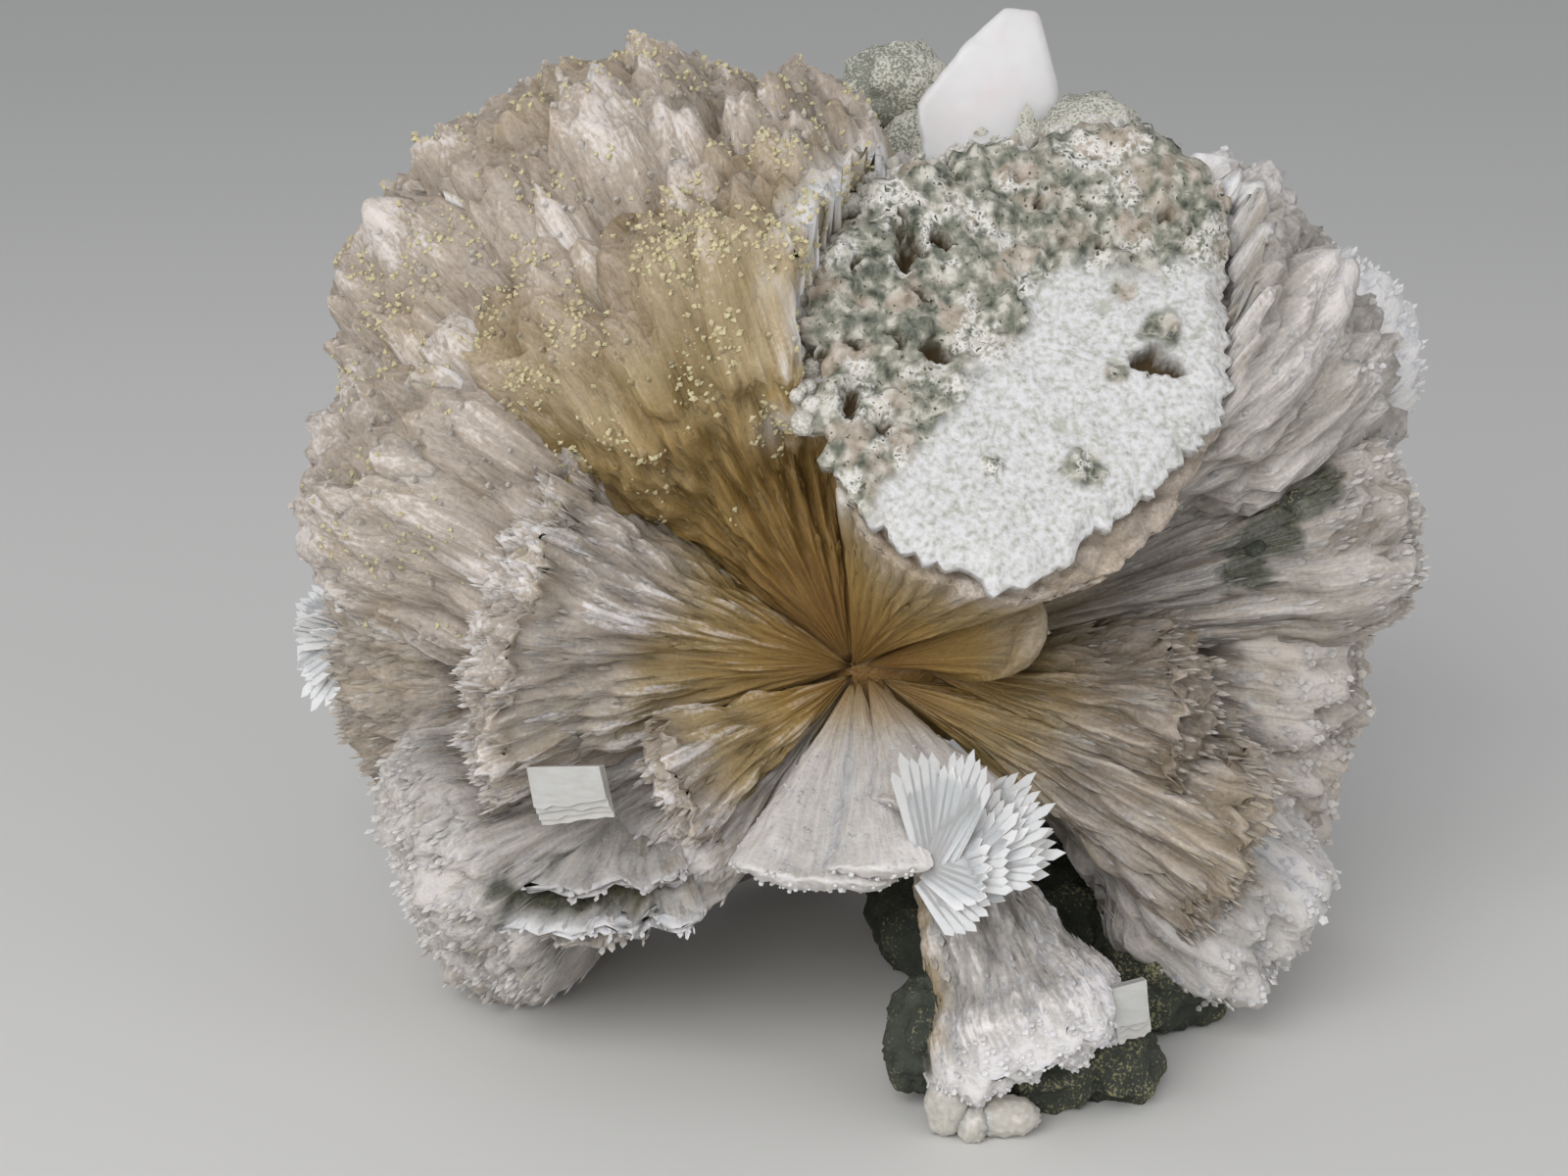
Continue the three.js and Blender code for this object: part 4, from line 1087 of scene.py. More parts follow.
LATHS, LATH_SOCKETS = lath_tree()
print("nodes that set laths:", len(LATHS.nodes))

# %% [markdown]
# The result of the tree becomes a piece's own mesh. A few laths stick out of the solids' box by more than a
# piece may, so their ends are pressed back. Then each piece is hung on the root, and any solid that it
# covers is hidden.

# %% From a surface to a finished piece
BOX_ROOM = 0.3  # how far out of the solids' box a piece may reach, in millimetres


def kept_in_box(mesh):
    """Presses a mesh's few stray vertices back to just outside the solids' box, and onto the table."""
    places = np.zeros(len(mesh.vertices) * 3, np.float32)
    mesh.vertices.foreach_get("co", places)
    places = places.reshape(-1, 3)
    low = BOX_LOW - (BOX_ROOM, BOX_ROOM, 0)
    places = np.clip(places, low * MM, (BOX_HIGH + BOX_ROOM) * MM)
    mesh.vertices.foreach_set("co", places.ravel())
    mesh.update()


def with_nodes(piece, tree, sockets, choices):
    """A piece with a node tree's result as its own plain mesh."""
    modifier = piece.modifiers.new(tree.name, "NODES")
    modifier.node_group = tree
    for name, value in choices.items():
        modifier[sockets[name]] = value
    evaluated = piece.evaluated_get(bpy.context.evaluated_depsgraph_get())
    mesh = bpy.data.meshes.new_from_object(evaluated)
    piece.modifiers.clear()
    piece.data = mesh
    kept_in_box(mesh)
    return piece


def finished(piece, slot, *nodes):
    """Hangs a piece on the root, hides the solids that it covers, and prints and returns its triangles."""
    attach(piece, "root")
    if nodes:
        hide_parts(*nodes)
    triangles = sum(len(p.vertices) - 2 for p in piece.data.polygons)
    print(piece.name, triangles, "triangles")
    return triangles


# %% [markdown]
# The rock is altered basalt: fine-grained, nearly black with a green cast of chlorite, and dusted with pale
# yellow grains. Its broken faces are angular at two millimetres and rough below that. The same tree serves
# for the paler rock at the crest, for the clay rubble and for the crumbs, with other colours.

# %% Material: basalt, broken
ROCK_GRAIN = 0.17
ROCK_BLOTCH = 6 * ROCK_GRAIN
PUSHED_OUT = 0.4  # how much more dust a place gets that stands out
GRAIN_DUST = (0.95, 1.1)  # the height at which dust begins, and is full, less the dusting


def rock_material(name, dark, light, dust, dusting):
    """Rock in blotches from dark to light, whose raised grains are dusted with a third colour."""
    material, tree, shader = new_material(name, Roughness=0.75, IOR=1.5)
    place = add_node(tree, "ShaderNodeTexCoord").outputs["Object"]
    push = add_node(tree, ATTRIBUTE, {"attribute_name": "push"}).outputs["Fac"]
    grain, blotch = (
        add_node(
            tree, NOISE, values={"Scale": 1 / (size * MM), "Detail": detail}, links={"Vector": place}
        ).outputs["Fac"]
        for size, detail in ((ROCK_GRAIN, 4), (ROCK_BLOTCH, 3))
    )
    stone = add_node(tree, MIX, RGBA, {6: colour(dark), 7: colour(light)}, {0: blotch}).outputs[2]
    level = add_node(tree, MATH, TIMES_PLUS, {1: PUSHED_OUT}, {0: push, 2: grain}).outputs[0]
    dusty = {"From Min": GRAIN_DUST[0] - dusting, "From Max": GRAIN_DUST[1] - dusting}
    dusty = add_node(tree, RANGE, values=dusty, links={"Value": level}).outputs[0]
    skin = add_node(tree, MIX, RGBA, {7: colour(dust)}, {0: dusty, 6: stone}).outputs[2]
    set_skin(tree, shader, skin, grain)
    return material


DARK_ROCK = rock_material("basalt_broken_dark", "#1d211c", "#4a4f43", "#8f8a68", 0.19)
GREEN_ROCK = rock_material("basalt_altered_green", "#5c6154", "#a9a99b", "#d3d0c4", 0.34)
print("rock nodes:", len(DARK_ROCK.node_tree.nodes))

# %% [markdown]
# Lumps start as a ball of small triangles that is pushed in and out. The first is the massive middle
# behind the nucleus, where all the sheaves are one. The same balls serve for the rock and the pale beads.


# %% Lumps
def ball(level):
    """A round ball of triangles, one unit in radius."""
    shape = bmesh.new()
    bmesh.ops.create_icosphere(shape, subdivisions=level, radius=1)
    places = np.array([v.co[:] for v in shape.verts])
    faces = [tuple(v.index for v in f.verts) for f in shape.faces]
    shape.free()
    return places, faces


CORE_RADIUS = 7.8
CORE_OFFSET = (2, 7.5, 0)


def core():
    """The massive middle, with the same values as a sheaf."""
    unit, faces = ball(5)
    places = NUCLEUS + CORE_OFFSET + unit * CORE_RADIUS
    way = places - NUCLEUS
    distance = np.linalg.norm(way, axis=1)
    plain = np.zeros(len(unit))
    values = dict.fromkeys(("laths", "pale", "white", "painted_highlight_share", "rock_and_shade", "tone", "crumbs"), plain)
    values |= {
        "lath_size": np.zeros((len(unit), 3)),
        "grow": way / distance[:, None],
        "strand": places,
        "warm": np.clip(1 - distance / WARM_REACH, 0, 1),
        # The middle takes nearly the grooves' painted shade.
        "relief_shading": plain + 0.2,
    }
    return places, faces, values


print("core:", len(core()[1]), "faces")

# %% [markdown]
# The sheaves are made in groups, as the eye sees them: the crown, the petals, the lobes. Within a group the
# closed sheaves run into each other, as they do in the stone.

# %% The sheaves, dressed
GROUPS = {
    "crown_front_sheaves": ["crown_front"],
    "crown_back_sheaves": ["crown_left", "crown_top"],
    "left_shoulder_sheaves": ["shoulder_left", "petal_left_back"],
    "left_petals": ["petal_left", "petal_low_left"],
    "low_left_sheaves": [
        "lobe_low_left", "heel_left", "ledge_low_left", "ledge_top", "ledge_middle", "ledge_bottom"
    ],
    "apron_and_leg": ["apron_left", "apron_right", "apron_behind", "leg"],
    "broken_bouquet": ["bouquet", "lip_right"],
    "right_petals": ["petal_right", "petal_right_low", "lobe_low_right", "wedge_right"],
    "right_lobe": ["lobe_right_back"],
    "right_shoulder_sheaves": ["shoulder_right", "spray_right"],
    "back_sheaves": ["back_top", "back_left", "back_low", "back_right"],
}
FIRST_SEED = 20
BACK_LATHS = 0.5  # the share of its laths that the back has
total = 0
surfaces = {}
for order, (group, names) in enumerate(GROUPS.items()):
    names = [n for n in SHEAVES if SHEAVES[n].get("part_of", n) in names]
    parts = [dress(name, FIRST_SEED + list(SHEAVES).index(name), spacing_of(name)) for name in names]
    parts += [core()] if group == "broken_bouquet" else []
    surfaces[group] = joined(parts)
    piece = mesh_piece(group, *surfaces[group])
    share = BACK_LATHS if group == "back_sheaves" else 1.0
    choices = {"Lath": unit_lath, "Finish": STILBITE, "Share of laths": share, "Seed": order + 1}
    with_nodes(piece, LATHS, LATH_SOCKETS, choices)
    total += finished(piece, "stilbite", "stilbite_sheaves")
print("sheaves in all:", total, "triangles")
bpy.data.objects.remove(unit_lath)

# %% [markdown]
# The crown is dusted with pale yellow crumbs of clay, 0.1 to 0.5 mm across, in drifts. The same tree scatters
# them, with a crumb in place of a lath, another density, and without the surface itself.


# %% Yellow crumbs
CRUMB_SIZE = 0.22
CRUMB_STONE = rock_material("iron_clay_crumbs", "#c6bb93", "#d8cea8", "#e6dcb8", 0.3)
unit_crumb = eight_sided(
    "unit_crumb",
    [
        (0.1, 0, -0.4), (-0.6, -0.1, 0), (0.1, -0.45, 0.1), (0.55, 0.1, -0.1), (-0.1, 0.35, 0),
        (-0.1, 0.1, 0.45),
    ],
)
for order, group in enumerate(("crown_front_sheaves", "crown_back_sheaves", "left_shoulder_sheaves")):
    places, faces, values = surfaces[group]
    values = values | {"laths": values["crumbs"], "lath_size": np.full((len(places), 3), CRUMB_SIZE)}
    crumbs = mesh_piece(group.replace("sheaves", "crumbs"), places, faces, values)
    choices = {"Lath": unit_crumb, "Finish": CRUMB_STONE, "Wobble": 3.0, "Seed": 50 + order}
    choices |= {"With surface": False, "Smallest": 0.5, "Largest": 2.3}
    finished(with_nodes(crumbs, LATHS, LATH_SOCKETS, choices), "stilbite")
bpy.data.objects.remove(unit_crumb)

# %% [markdown]
# A rough lump of rock: the ball is chipped in cells, uneven at three millimetres, and rough below that.


# %% Rough lumps
CHIP = 2.2  # across a chipped cell, in millimetres
CHIP_EDGE = 0.2  # how wide the slope between two cells is, as a share of a cell
LUMP_WAVE = 3
LUMP_GRAIN = 0.9
CHIP_PART = 0.5  # how much of the roughness the chips make, and the waves, and the grain
WAVE_PART = 0.5
GRAIN_PART = 0.4


def lump(centre, size, seed, level, rough):
    """A rough lump: its places from the middle of the specimen, faces, and how deep each place is pushed."""
    unit, faces = ball(level)
    size = np.array(size, float)
    around = unit * size
    _, gap, number, _ = bundles(around / CHIP + 9.1 * seed, seed)
    chipped = (number - 0.5) * smooth(gap, 0, CHIP_EDGE)
    push = rough * (WAVE_PART * uneven(around / LUMP_WAVE + 7.7 * seed, seed) + CHIP_PART * chipped)
    push += GRAIN_PART * rough * uneven(around / LUMP_GRAIN, seed + 3, 3)
    places = NUCLEUS + centre + around + unit * push[:, None]
    return places, faces, {"push": np.clip(0.5 + push / (1.4 * rough), 0, 1)}


print("a lump of rock has", len(lump((0, 0, 0), (3, 3, 3), 1, 5, 1.5)[1]), "faces")

# %% [markdown]
# Rock is left in three places: dark under the leg and behind it, paler and altered behind the crown, and as
# two dark specks on the right wedge. Each lump is a place from the middle, half its size each way, and how
# finely its ball is divided.

# %% Rock under the leg, behind the crown, and on the right wedge
FOOT_LUMPS = [
    ((3.8, -12.6, -16), (2.5, 3, 3.5), 5),
    ((13.6, -11.4, -17.8), (2.6, 2.6, 2.6), 5),
    ((17.4, -2, -16.4), (4.4, 5, 4.2), 5),
    ((9.5, -9, -18), (6.5, 5.5, 3), 5),
    ((10, 6, -17.5), (9, 10, 4.5), 5),
]
CREST_LUMPS = [
    ((2.6, 22.3, 28.6), (3.2, 3, 3), 4),
    ((14, 17.8, 26.4), (3.2, 3.4, 2.8), 4),
    ((8.5, 19.8, 24.4), (7.5, 4, 4), 5),
]
SPECK_LUMPS = [((21.6, -0.9, 7), (0.9, 0.6, 0.7), 3), ((23.9, -0.3, 9.4), (0.9, 0.5, 0.8), 3)]


def rock_piece(name, lumps, material, rough):
    """Rough lumps as one piece."""
    parts = [lump(centre, size, 3 + k, level, rough) for k, (centre, size, level) in enumerate(lumps)]
    piece = mesh_piece(name, *joined(parts))
    piece.data.materials.append(material)
    return piece


foot = rock_piece("foot_rock", FOOT_LUMPS, DARK_ROCK, 1.5)
crest = rock_piece("crest_rock", CREST_LUMPS, GREEN_ROCK, 1.5)
specks = rock_piece("rock_specks", SPECK_LUMPS, DARK_ROCK, 0.7)
finished(foot, "dark_rock", "matrix_foot")
finished(crest, "green_rock", "matrix_crest")
finished(specks, "dark_rock")

# %% [markdown]
# At the foot sit a few small pale balls of another zeolite. They are waxy and slightly see-through, and
# their skin is finely knobbed. The fresh blades further on get the same kind of finish, but nearly white.

# %% Pale beads
BEADS = [
    ((4.6, -16, -18.1), (1.15, 1.2, 1.95)),
    ((5.9, -16.4, -19), (0.9, 1, 1.1)),
    ((7.6, -16, -18.9), (1.9, 1.2, 1.1)),
]
BEAD_KNOB = 0.45
KNOB_HEIGHT = 0.16
BEAD_SINK = 0.15  # how much smaller the ball between the knobs is
BEAD_WAVE = 0.2
BEAD_WAVE_LENGTH = 1.2
WAX_GRAIN = 0.3


def waxy_material(name, base, rough, stretch=(1, 1, 1)):
    """A pale mineral that lets some light in, with a fine uneven skin, whose grain may be stretched."""
    material, tree, shader = new_material(
        name, Roughness=rough, IOR=1.5, Subsurface_Weight=0.6, Subsurface_Radius=(1.0, 0.8, 0.7),
        Subsurface_Scale=1.5 * MM,
    )
    place = add_node(tree, "ShaderNodeTexCoord").outputs["Object"]
    place = add_node(tree, VECTOR_MATH, {"operation": "MULTIPLY"}, {1: stretch}, {0: place}).outputs[0]
    grain = {"Scale": 1 / (WAX_GRAIN * MM), "Detail": 3}
    grain = add_node(tree, NOISE, values=grain, links={"Vector": place}).outputs["Fac"]
    skin = add_node(tree, MIX, RGBA, {6: colour(base[0]), 7: colour(base[1])}, {0: grain}).outputs[2]
    set_skin(tree, shader, skin, grain, strength=0.25, depth=0.1)
    return material


def knobbed_bead(centre, size, seed):
    """A ball with fine round knobs all over it."""
    unit, faces = ball(4)
    around = unit * np.array(size)
    near, gap, number, _ = bundles(around / BEAD_KNOB + seed, seed)
    knobs = smooth(gap, 0, 0.5) * (1 - near) + 0.5 * number
    push = KNOB_HEIGHT * knobs - BEAD_SINK + BEAD_WAVE * uneven(around / BEAD_WAVE_LENGTH, seed)
    return NUCLEUS + centre + around + unit * push[:, None], faces, {}


BEAD_WAX = waxy_material("zeolite_ball_waxy", ("#a9a49a", "#dcd8d0"), 0.3)
parts = [knobbed_bead(centre, size, 5 + k) for k, (centre, size) in enumerate(BEADS)]
beads = mesh_piece("foot_beads_fine", *joined(parts))
beads.data.materials.append(BEAD_WAX)
finished(beads, "pale_beads", "foot_beads")

# %% [markdown]
# The pointed crystal is blocky, with soft edges. Its hull is made from its corners, then bevelled and covered
# with an even fine mesh, so that faint growth steps can be pressed into its faces.

# %% Pointed crystal
CRYSTAL_FRONT = [
    (4.2, 15.6, 24.4), (3.7, 16.9, 28.4), (6.6, 18.2, 31.9), (9, 19, 33.9),
    (11, 19.2, 33.6), (12.3, 18.8, 29.4), (12.8, 17.6, 25.6), (8.4, 15.2, 23.6),
]
CRYSTAL_BACK = np.array([1.2, 5, 0.2])
CRYSTAL_BACK_SIZE = 0.72
CRYSTAL_EDGE = 0.7  # how widely its edges are rounded
CRYSTAL_EDGE_STEPS = 4
CRYSTAL_EDGE_ANGLE = math.radians(12)  # edges flatter than this aren't rounded
CRYSTAL_MESH = 0.2
CRYSTAL_SOFTENING = 6  # how many times the mesh is smoothed
CRYSTAL_STEP = 0.9  # from one growth step to the next
CRYSTAL_STEP_DEPTH = 0.05
CRYSTAL_WAVE = 4  # from one soft swelling of its faces to the next
CRYSTAL_WAVE_DEPTH = 0.1


def crystal_piece():
    """The crystal between a front and a smaller back, with soft edges and growth steps."""
    front = NUCLEUS + np.array(CRYSTAL_FRONT)
    back = (front - front.mean(0)) * CRYSTAL_BACK_SIZE + front.mean(0) + CRYSTAL_BACK
    shape = bmesh.new()
    for corner in np.concatenate([front, back]):
        shape.verts.new(corner * MM)
    bmesh.ops.convex_hull(shape, input=shape.verts)
    mesh = bpy.data.meshes.new("crystal_fine")
    shape.to_mesh(mesh)
    shape.free()
    piece = bpy.data.objects.new("crystal_fine", mesh)
    bpy.context.scene.collection.objects.link(piece)
    bevel = piece.modifiers.new("edges", "BEVEL")
    bevel.width = CRYSTAL_EDGE * MM
    bevel.segments = CRYSTAL_EDGE_STEPS
    bevel.limit_method = "ANGLE"
    bevel.angle_limit = CRYSTAL_EDGE_ANGLE
    cover = piece.modifiers.new("cover", "REMESH")
    cover.mode = "VOXEL"
    cover.voxel_size = CRYSTAL_MESH * MM
    soften = piece.modifiers.new("soften", "SMOOTH")
    soften.iterations = CRYSTAL_SOFTENING
    covered = bpy.data.meshes.new_from_object(piece.evaluated_get(bpy.context.evaluated_depsgraph_get()))
    bpy.data.objects.remove(piece)
    places = np.array([v.co[:] for v in covered.vertices]) / MM
    faces = [tuple(p.vertices) for p in covered.polygons]
    normals = normals_of(places, triangles_of(faces))
    steps = uneven(places * (0.5, 0.5, 1.4) / CRYSTAL_STEP, 4, 2)
    swelling = CRYSTAL_WAVE_DEPTH * uneven(places / CRYSTAL_WAVE, 5, 1)
    places = places + normals * (CRYSTAL_STEP_DEPTH * steps + swelling)[:, None]
    return mesh_piece("crystal_fine", places, faces)


crystal = crystal_piece()
print("crystal:", len(crystal.data.vertices), "vertices")

# %% [markdown]
# The crystal is milky and pinkish, and see-through only a little: light goes in and is scattered by tiny
# inclusions, which lie in faint clouds. Its IOR is that of apophyllite, and its faces are nearly smooth.

# %% Material: apophyllite, milky
CRYSTAL_CLOUD = 3  # across a cloud of inclusions


def milky_material():
    """A milky mineral with faint clouds, which lets a little light through."""
    material, tree, shader = new_material(
        "apophyllite_milky", Roughness=0.3, IOR=1.535, Transmission_Weight=0.18, Subsurface_Weight=0.8,
        Subsurface_Radius=(1.0, 0.8, 0.85), Subsurface_Scale=3 * MM,
    )
    place = add_node(tree, "ShaderNodeTexCoord").outputs["Object"]
    cloud = {"Scale": 1 / (CRYSTAL_CLOUD * MM), "Detail": 3}
    cloud = add_node(tree, NOISE, values=cloud, links={"Vector": place}).outputs["Fac"]
    tint = set_ramp(add_node(tree, RAMP, links={"Fac": cloud}), [(0.3, "#f5ebec"), (0.7, "#fdf8f8")])
    tree.links.new(tint, shader.inputs["Base Color"])
    return material


crystal.data.materials.append(milky_material())
finished(crystal, "clear_crystal", "pointed_crystal")

# %% [markdown]
# Two fans of snow-white blades are a later growth. Every blade of the solid becomes a packet of thin
# sheets, one behind another, and every sheet is a row of narrow strips with chisel tips. They end
# unevenly, as a split stack of cleavage sheets does. A blade's row in the table is its tip and its width.

# %% White blades
WHITE_FAN = dict(
    root=(3.9, -12.8, -6.2), packet=2, thickness=0.12, breadth=1.9, towards=(-0.25, -1, 0.6),
    blades=[
        ((2.7, -14.1, 0.3), 1.5), ((4.6, -13.9, -0.4), 2.6), ((6.1, -14.6, 1.1), 2),
        ((7, -14.2, -1.4), 2.4), ((9.1, -14.2, -1.5), 1.9), ((7.4, -15, -3.4), 2.8),
        ((9.9, -14.6, -3.4), 1.8), ((9.9, -15, -5.4), 1.7), ((7.2, -15.6, -6.2), 2.4),
        ((8.9, -15.4, -7), 1.7), ((6.8, -15.8, -8), 2), ((4.8, -15.2, -7.8), 1.5),
    ],
)
LEFT_FAN = dict(
    root=(-28.6, 11, -2.2), packet=3, thickness=0.16, breadth=1.3, towards=(-0.5, -1, 0.2),
    blades=[
        ((-30.8, 10.6, 3.2), 1.7), ((-32.4, 10.9, 1), 1.8), ((-32.9, 10.2, -1.8), 1.7),
        ((-32.7, 9.8, -4.2), 1.8), ((-31.8, 9.6, -6.8), 1.8), ((-31.4, 12.2, -0.8), 1.8),
        ((-32, 8.8, -0.6), 1.5),
    ],
)
print("white blades:", len(WHITE_FAN["blades"]), "in front and", len(LEFT_FAN["blades"]), "at the left")

# %% [markdown]
# A strip is a thin plate with a chisel tip. Its outline is drawn once, flat, and laid along the way from its
# root to its tip. It gets half as thick towards the tip, as a split flake of a layered mineral does.

# %% One strip of a blade
# Its outline, as shares of its width and of its length.
BLADE_OUTLINE = [(-0.4, 0), (0.4, 0), (0.5, 0.5), (0.5, 0.93), (0.15, 1), (-0.5, 0.9), (-0.5, 0.5)]


def blade_part(root, tip, flat, width, thickness):
    """A thin plate with a chisel end, from its root to its tip, broad the way that is across flat."""
    along = tip - root
    length = np.linalg.norm(along)
    along = along / length
    thin = flat - flat @ along * along
    thin = thin / np.linalg.norm(thin)
    wide = np.cross(thin, along)
    outline = np.array(BLADE_OUTLINE)
    middle = root + np.outer(outline[:, 1] * length, along) + np.outer(outline[:, 0] * width, wide)
    slim = (thickness / 2 * (1 - 0.5 * outline[:, 1]))[:, None] * thin
    places = np.concatenate([middle + slim, middle - slim])
    n = len(outline)
    faces = [tuple(range(n - 1, -1, -1)), tuple(range(n, 2 * n))]
    faces += [(k, (k + 1) % n, n + (k + 1) % n, n + k) for k in range(n)]
    return places, turned_outwards(places, faces), {}


trial = blade_part(np.zeros(3), np.array([0, 0, 3]), np.array([0, 1, 0]), 0.5, 0.1)
print("a strip has", len(trial[0]), "vertices and", len(trial[1]), "faces")

# %% [markdown]
# A sheet is a row of strips, whose uneven ends make its serrated edge. A packet is a few sheets, one behind
# another. Chance turns and moves each of them a little, so that the fan looks split and not drawn.

# %% Packets of sheets
STRIP = 0.5  # the width of one strip of a sheet
STRIP_LAP = 1.05  # a strip's breadth, as a share of the room that it has
STRIP_ENDS = (-0.1, 0.03)  # how much shorter or longer than its sheet a strip is, as a share
ROOT_WIDTH = 0.4  # a sheet's width at its root, as a share of the one at its tip
SHEET_ROUND = 0.5  # how much shorter the outer strips are
STEP_BACK = 0.2  # from one sheet to the next
BLADE_LENGTHS = (0.78, 1.04)  # the shortest and longest sheets of a blade, as shares of its own length
BLADE_WIDTHS = (0.7, 1.1)
# How unevenly the sheets lie: a packet's and a sheet's turn, and how far a sheet and its tip are moved.
PACKET_TURN = 0.14
SHEET_TURN = 0.1
SHEET_SHIFT = 0.25
TIP_SHIFT = 0.35


def sheet_parts(root, tip, width, flat, thickness, chance):
    """One sheet of a packet: narrow strips side by side, whose ends make a serrated, rounded edge."""
    wide = np.cross(flat, tip - root)
    wide = wide / np.linalg.norm(wide)
    strips = max(4, round(width / STRIP))
    chance.random()  # this draw and the one for each strip are spare: they keep the others as they are
    parts = []
    for k in range(strips):
        aside = (k - (strips - 1) / 2) / strips
        end = root + (tip - root) * (1 + chance.uniform(*STRIP_ENDS) - SHEET_ROUND * aside**2)
        start = root + wide * aside * width * ROOT_WIDTH
        chance.normal()
        end = end + wide * aside * width
        parts.append(blade_part(start, end, flat, STRIP_LAP * width / strips, thickness))
    return parts


def fan_piece(name, fan, seed):
    """A fan of packets of sheets, from one root to the tip of every blade."""
    chance = np.random.default_rng(seed)
    root = NUCLEUS + fan["root"]
    parts = []
    for tip, width in fan["blades"]:
        tip = NUCLEUS + tip
        facing = np.array(fan["towards"]) + chance.normal(0, PACKET_TURN, 3)
        facing = facing / np.linalg.norm(facing)
        for layer in range(fan["packet"]):
            shift = (layer - fan["packet"] / 2) * STEP_BACK * facing + chance.normal(0, SHEET_SHIFT, 3)
            end = root + (tip - root) * chance.uniform(*BLADE_LENGTHS)
            end = end + chance.normal(0, TIP_SHIFT, 3) + shift
            flat = facing + chance.normal(0, SHEET_TURN, 3)
            size = width * fan["breadth"] * chance.uniform(*BLADE_WIDTHS)
            parts += sheet_parts(root + shift, end, size, flat, fan["thickness"], chance)
    return mesh_piece(name, *joined(parts), flat=True)


SNOW = waxy_material("stilbite_fresh_blades", ("#f4f2f0", "#fdfcfb"), 0.3)
white_fan = fan_piece("white_sheaf_fine", WHITE_FAN, 3)
left_fan = fan_piece("left_blades_fine", LEFT_FAN, 4)
for fan, node in ((white_fan, "white_sheaf"), (left_fan, "left_blades")):
    fan.data.materials.append(SNOW)
    finished(fan, "white_blades", node)

# %% [markdown]
# The bouquet broke off the rock, and a crust stayed on the broken face. Its lower right part is chalky
# white clay, thin and finely cracked. Towards the upper left it is thicker, grey-green altered rock, with
# brown and black pits. Its height is worked out for every place on the broken face, with the values that
# its colours are mixed from.

# %% Crust: how high it is, and of what
CRUST_THICKNESS = 1.2
CRUST_WEDGE = 0.9  # how much thicker the crust is at its upper left
KNOB_CELL = 2.4  # from one broken-off knob to the next
PIT_CELL = 1.5  # from one pit to the next
PIT_DEPTH = 1.1
CRACK_CELL = 1.9
CRACK_DEPTH = 0.06
BIG_PITS = [  # right and up from the face's middle, half its size each way, and its depth
    (7.6, -0.4, 1.5, 0.9, 1.2), (-6.2, 3.8, 0.9, 1.2, 1.4), (-4.6, 4.6, 0.7, 0.6, 1.1),
    (-8.1, -2.4, 0.8, 0.5, 1), (-8.2, -5.9, 0.6, 0.9, 1.1), (-4.2, -1.8, 0.9, 0.6, 1),
    (-5.2, 1.2, 0.8, 0.5, 1),
]
GREY_PATCHES = [  # rock that shows in the clay: right and up from the face's middle, and its radius
    (3.9, -7.7, 1.2), (5.3, 3.5, 0.8), (7.4, 1.6, 1.3), (5.2, -1.6, 0.7), (-0.8, -8.4, 0.7), (1.2, 6.5, 1.2),
]


def rockiness(x, y):
    """How much of the crust is grey-green rock at a place, from 0 to 1: above two lines, and in patches."""
    edge = np.minimum(1.86 * x - 0.1, 4.2 + 0.1 * x)
    spots = np.stack([x, y, 0 * x], axis=1)
    rock = smooth(y - edge + 2.6 * uneven(spots / 2.6, 61, 4), -1.3, 1.3)
    for px, py, radius in GREY_PATCHES:
        away = np.hypot(x - px, y - py) / radius + 0.5 * uneven(spots / 0.8, 62, 2)
        rock = np.maximum(rock, 1 - smooth(away, 0.7, 1.1))
    return rock


def crust_relief(x, y):
    """How high the crust stands at each place, how deep its pits and cracks are, and its colours' values."""
    spots = np.stack([x, y, 0 * x], axis=1)
    rock = rockiness(x, y)
    # Beige knobs where laths broke off, and drifts of white grains.
    near, gap, number, _ = bundles(spots / KNOB_CELL + 0.35 * uneven(spots / 1.1, 75, 2)[:, None], 76)
    beige = smooth(number, 0.45, 0.6) * smooth(gap, 0.02, 0.3)
    snowy = smooth(uneven(spots / 1.3, 77, 4) + 0.12 * smooth(y, 3, 9), 0.14, 0.36)
    # The rock is lumpy in three sizes, and the chalky clay nearly even.
    lumpy = 0.5 * uneven(spots / 3.2, 63) + 0.55 * uneven(spots / 0.7, 64, 3) + 0.6 * (1 - near**2) - 0.3
    chalk = 0.16 * uneven(spots / 1.3, 65, 3)
    # Small pits in one cell of the rock out of four, the big pits of the table, and cracks in the clay.
    near, _, number, _ = bundles(spots / PIT_CELL, 66)
    pit = (1 - smooth(near + 0.5 * uneven(spots / 0.5, 73, 2), 0.06, 0.3)) * (number > 0.75) * rock
    for px, py, wide, high, depth in BIG_PITS:
        away = np.hypot((x - px) / wide, (y - py) / high) + 0.9 * uneven(spots / 0.7, 67, 3)
        pit = np.maximum(pit, depth * (1 - smooth(away, 0.55, 1)))
    crack_gap = bundles(spots / CRACK_CELL + 0.3 * uneven(spots / 0.8, 68, 2)[:, None], 69)[1]
    crack = (1 - smooth(crack_gap, 0, 0.06)) * (1 - rock) * smooth(uneven(spots / 2.4, 74), 0, 0.3)
    thickening = CRUST_WEDGE * np.clip((y - x) / 14, 0, 1)
    raised = CRUST_THICKNESS + thickening + rock * lumpy + (1 - rock) * chalk
    values = {"rock": rock, "pit": np.clip(pit, 0, 1), "crack": crack, "beige": beige, "snowy": snowy}
    return raised, PIT_DEPTH * pit + CRACK_DEPTH * crack, values


trial = crust_relief(np.linspace(-8, 8, 9), np.linspace(8, -8, 9))[0]
print("height from the upper left to the lower right:", np.round(trial, 1))

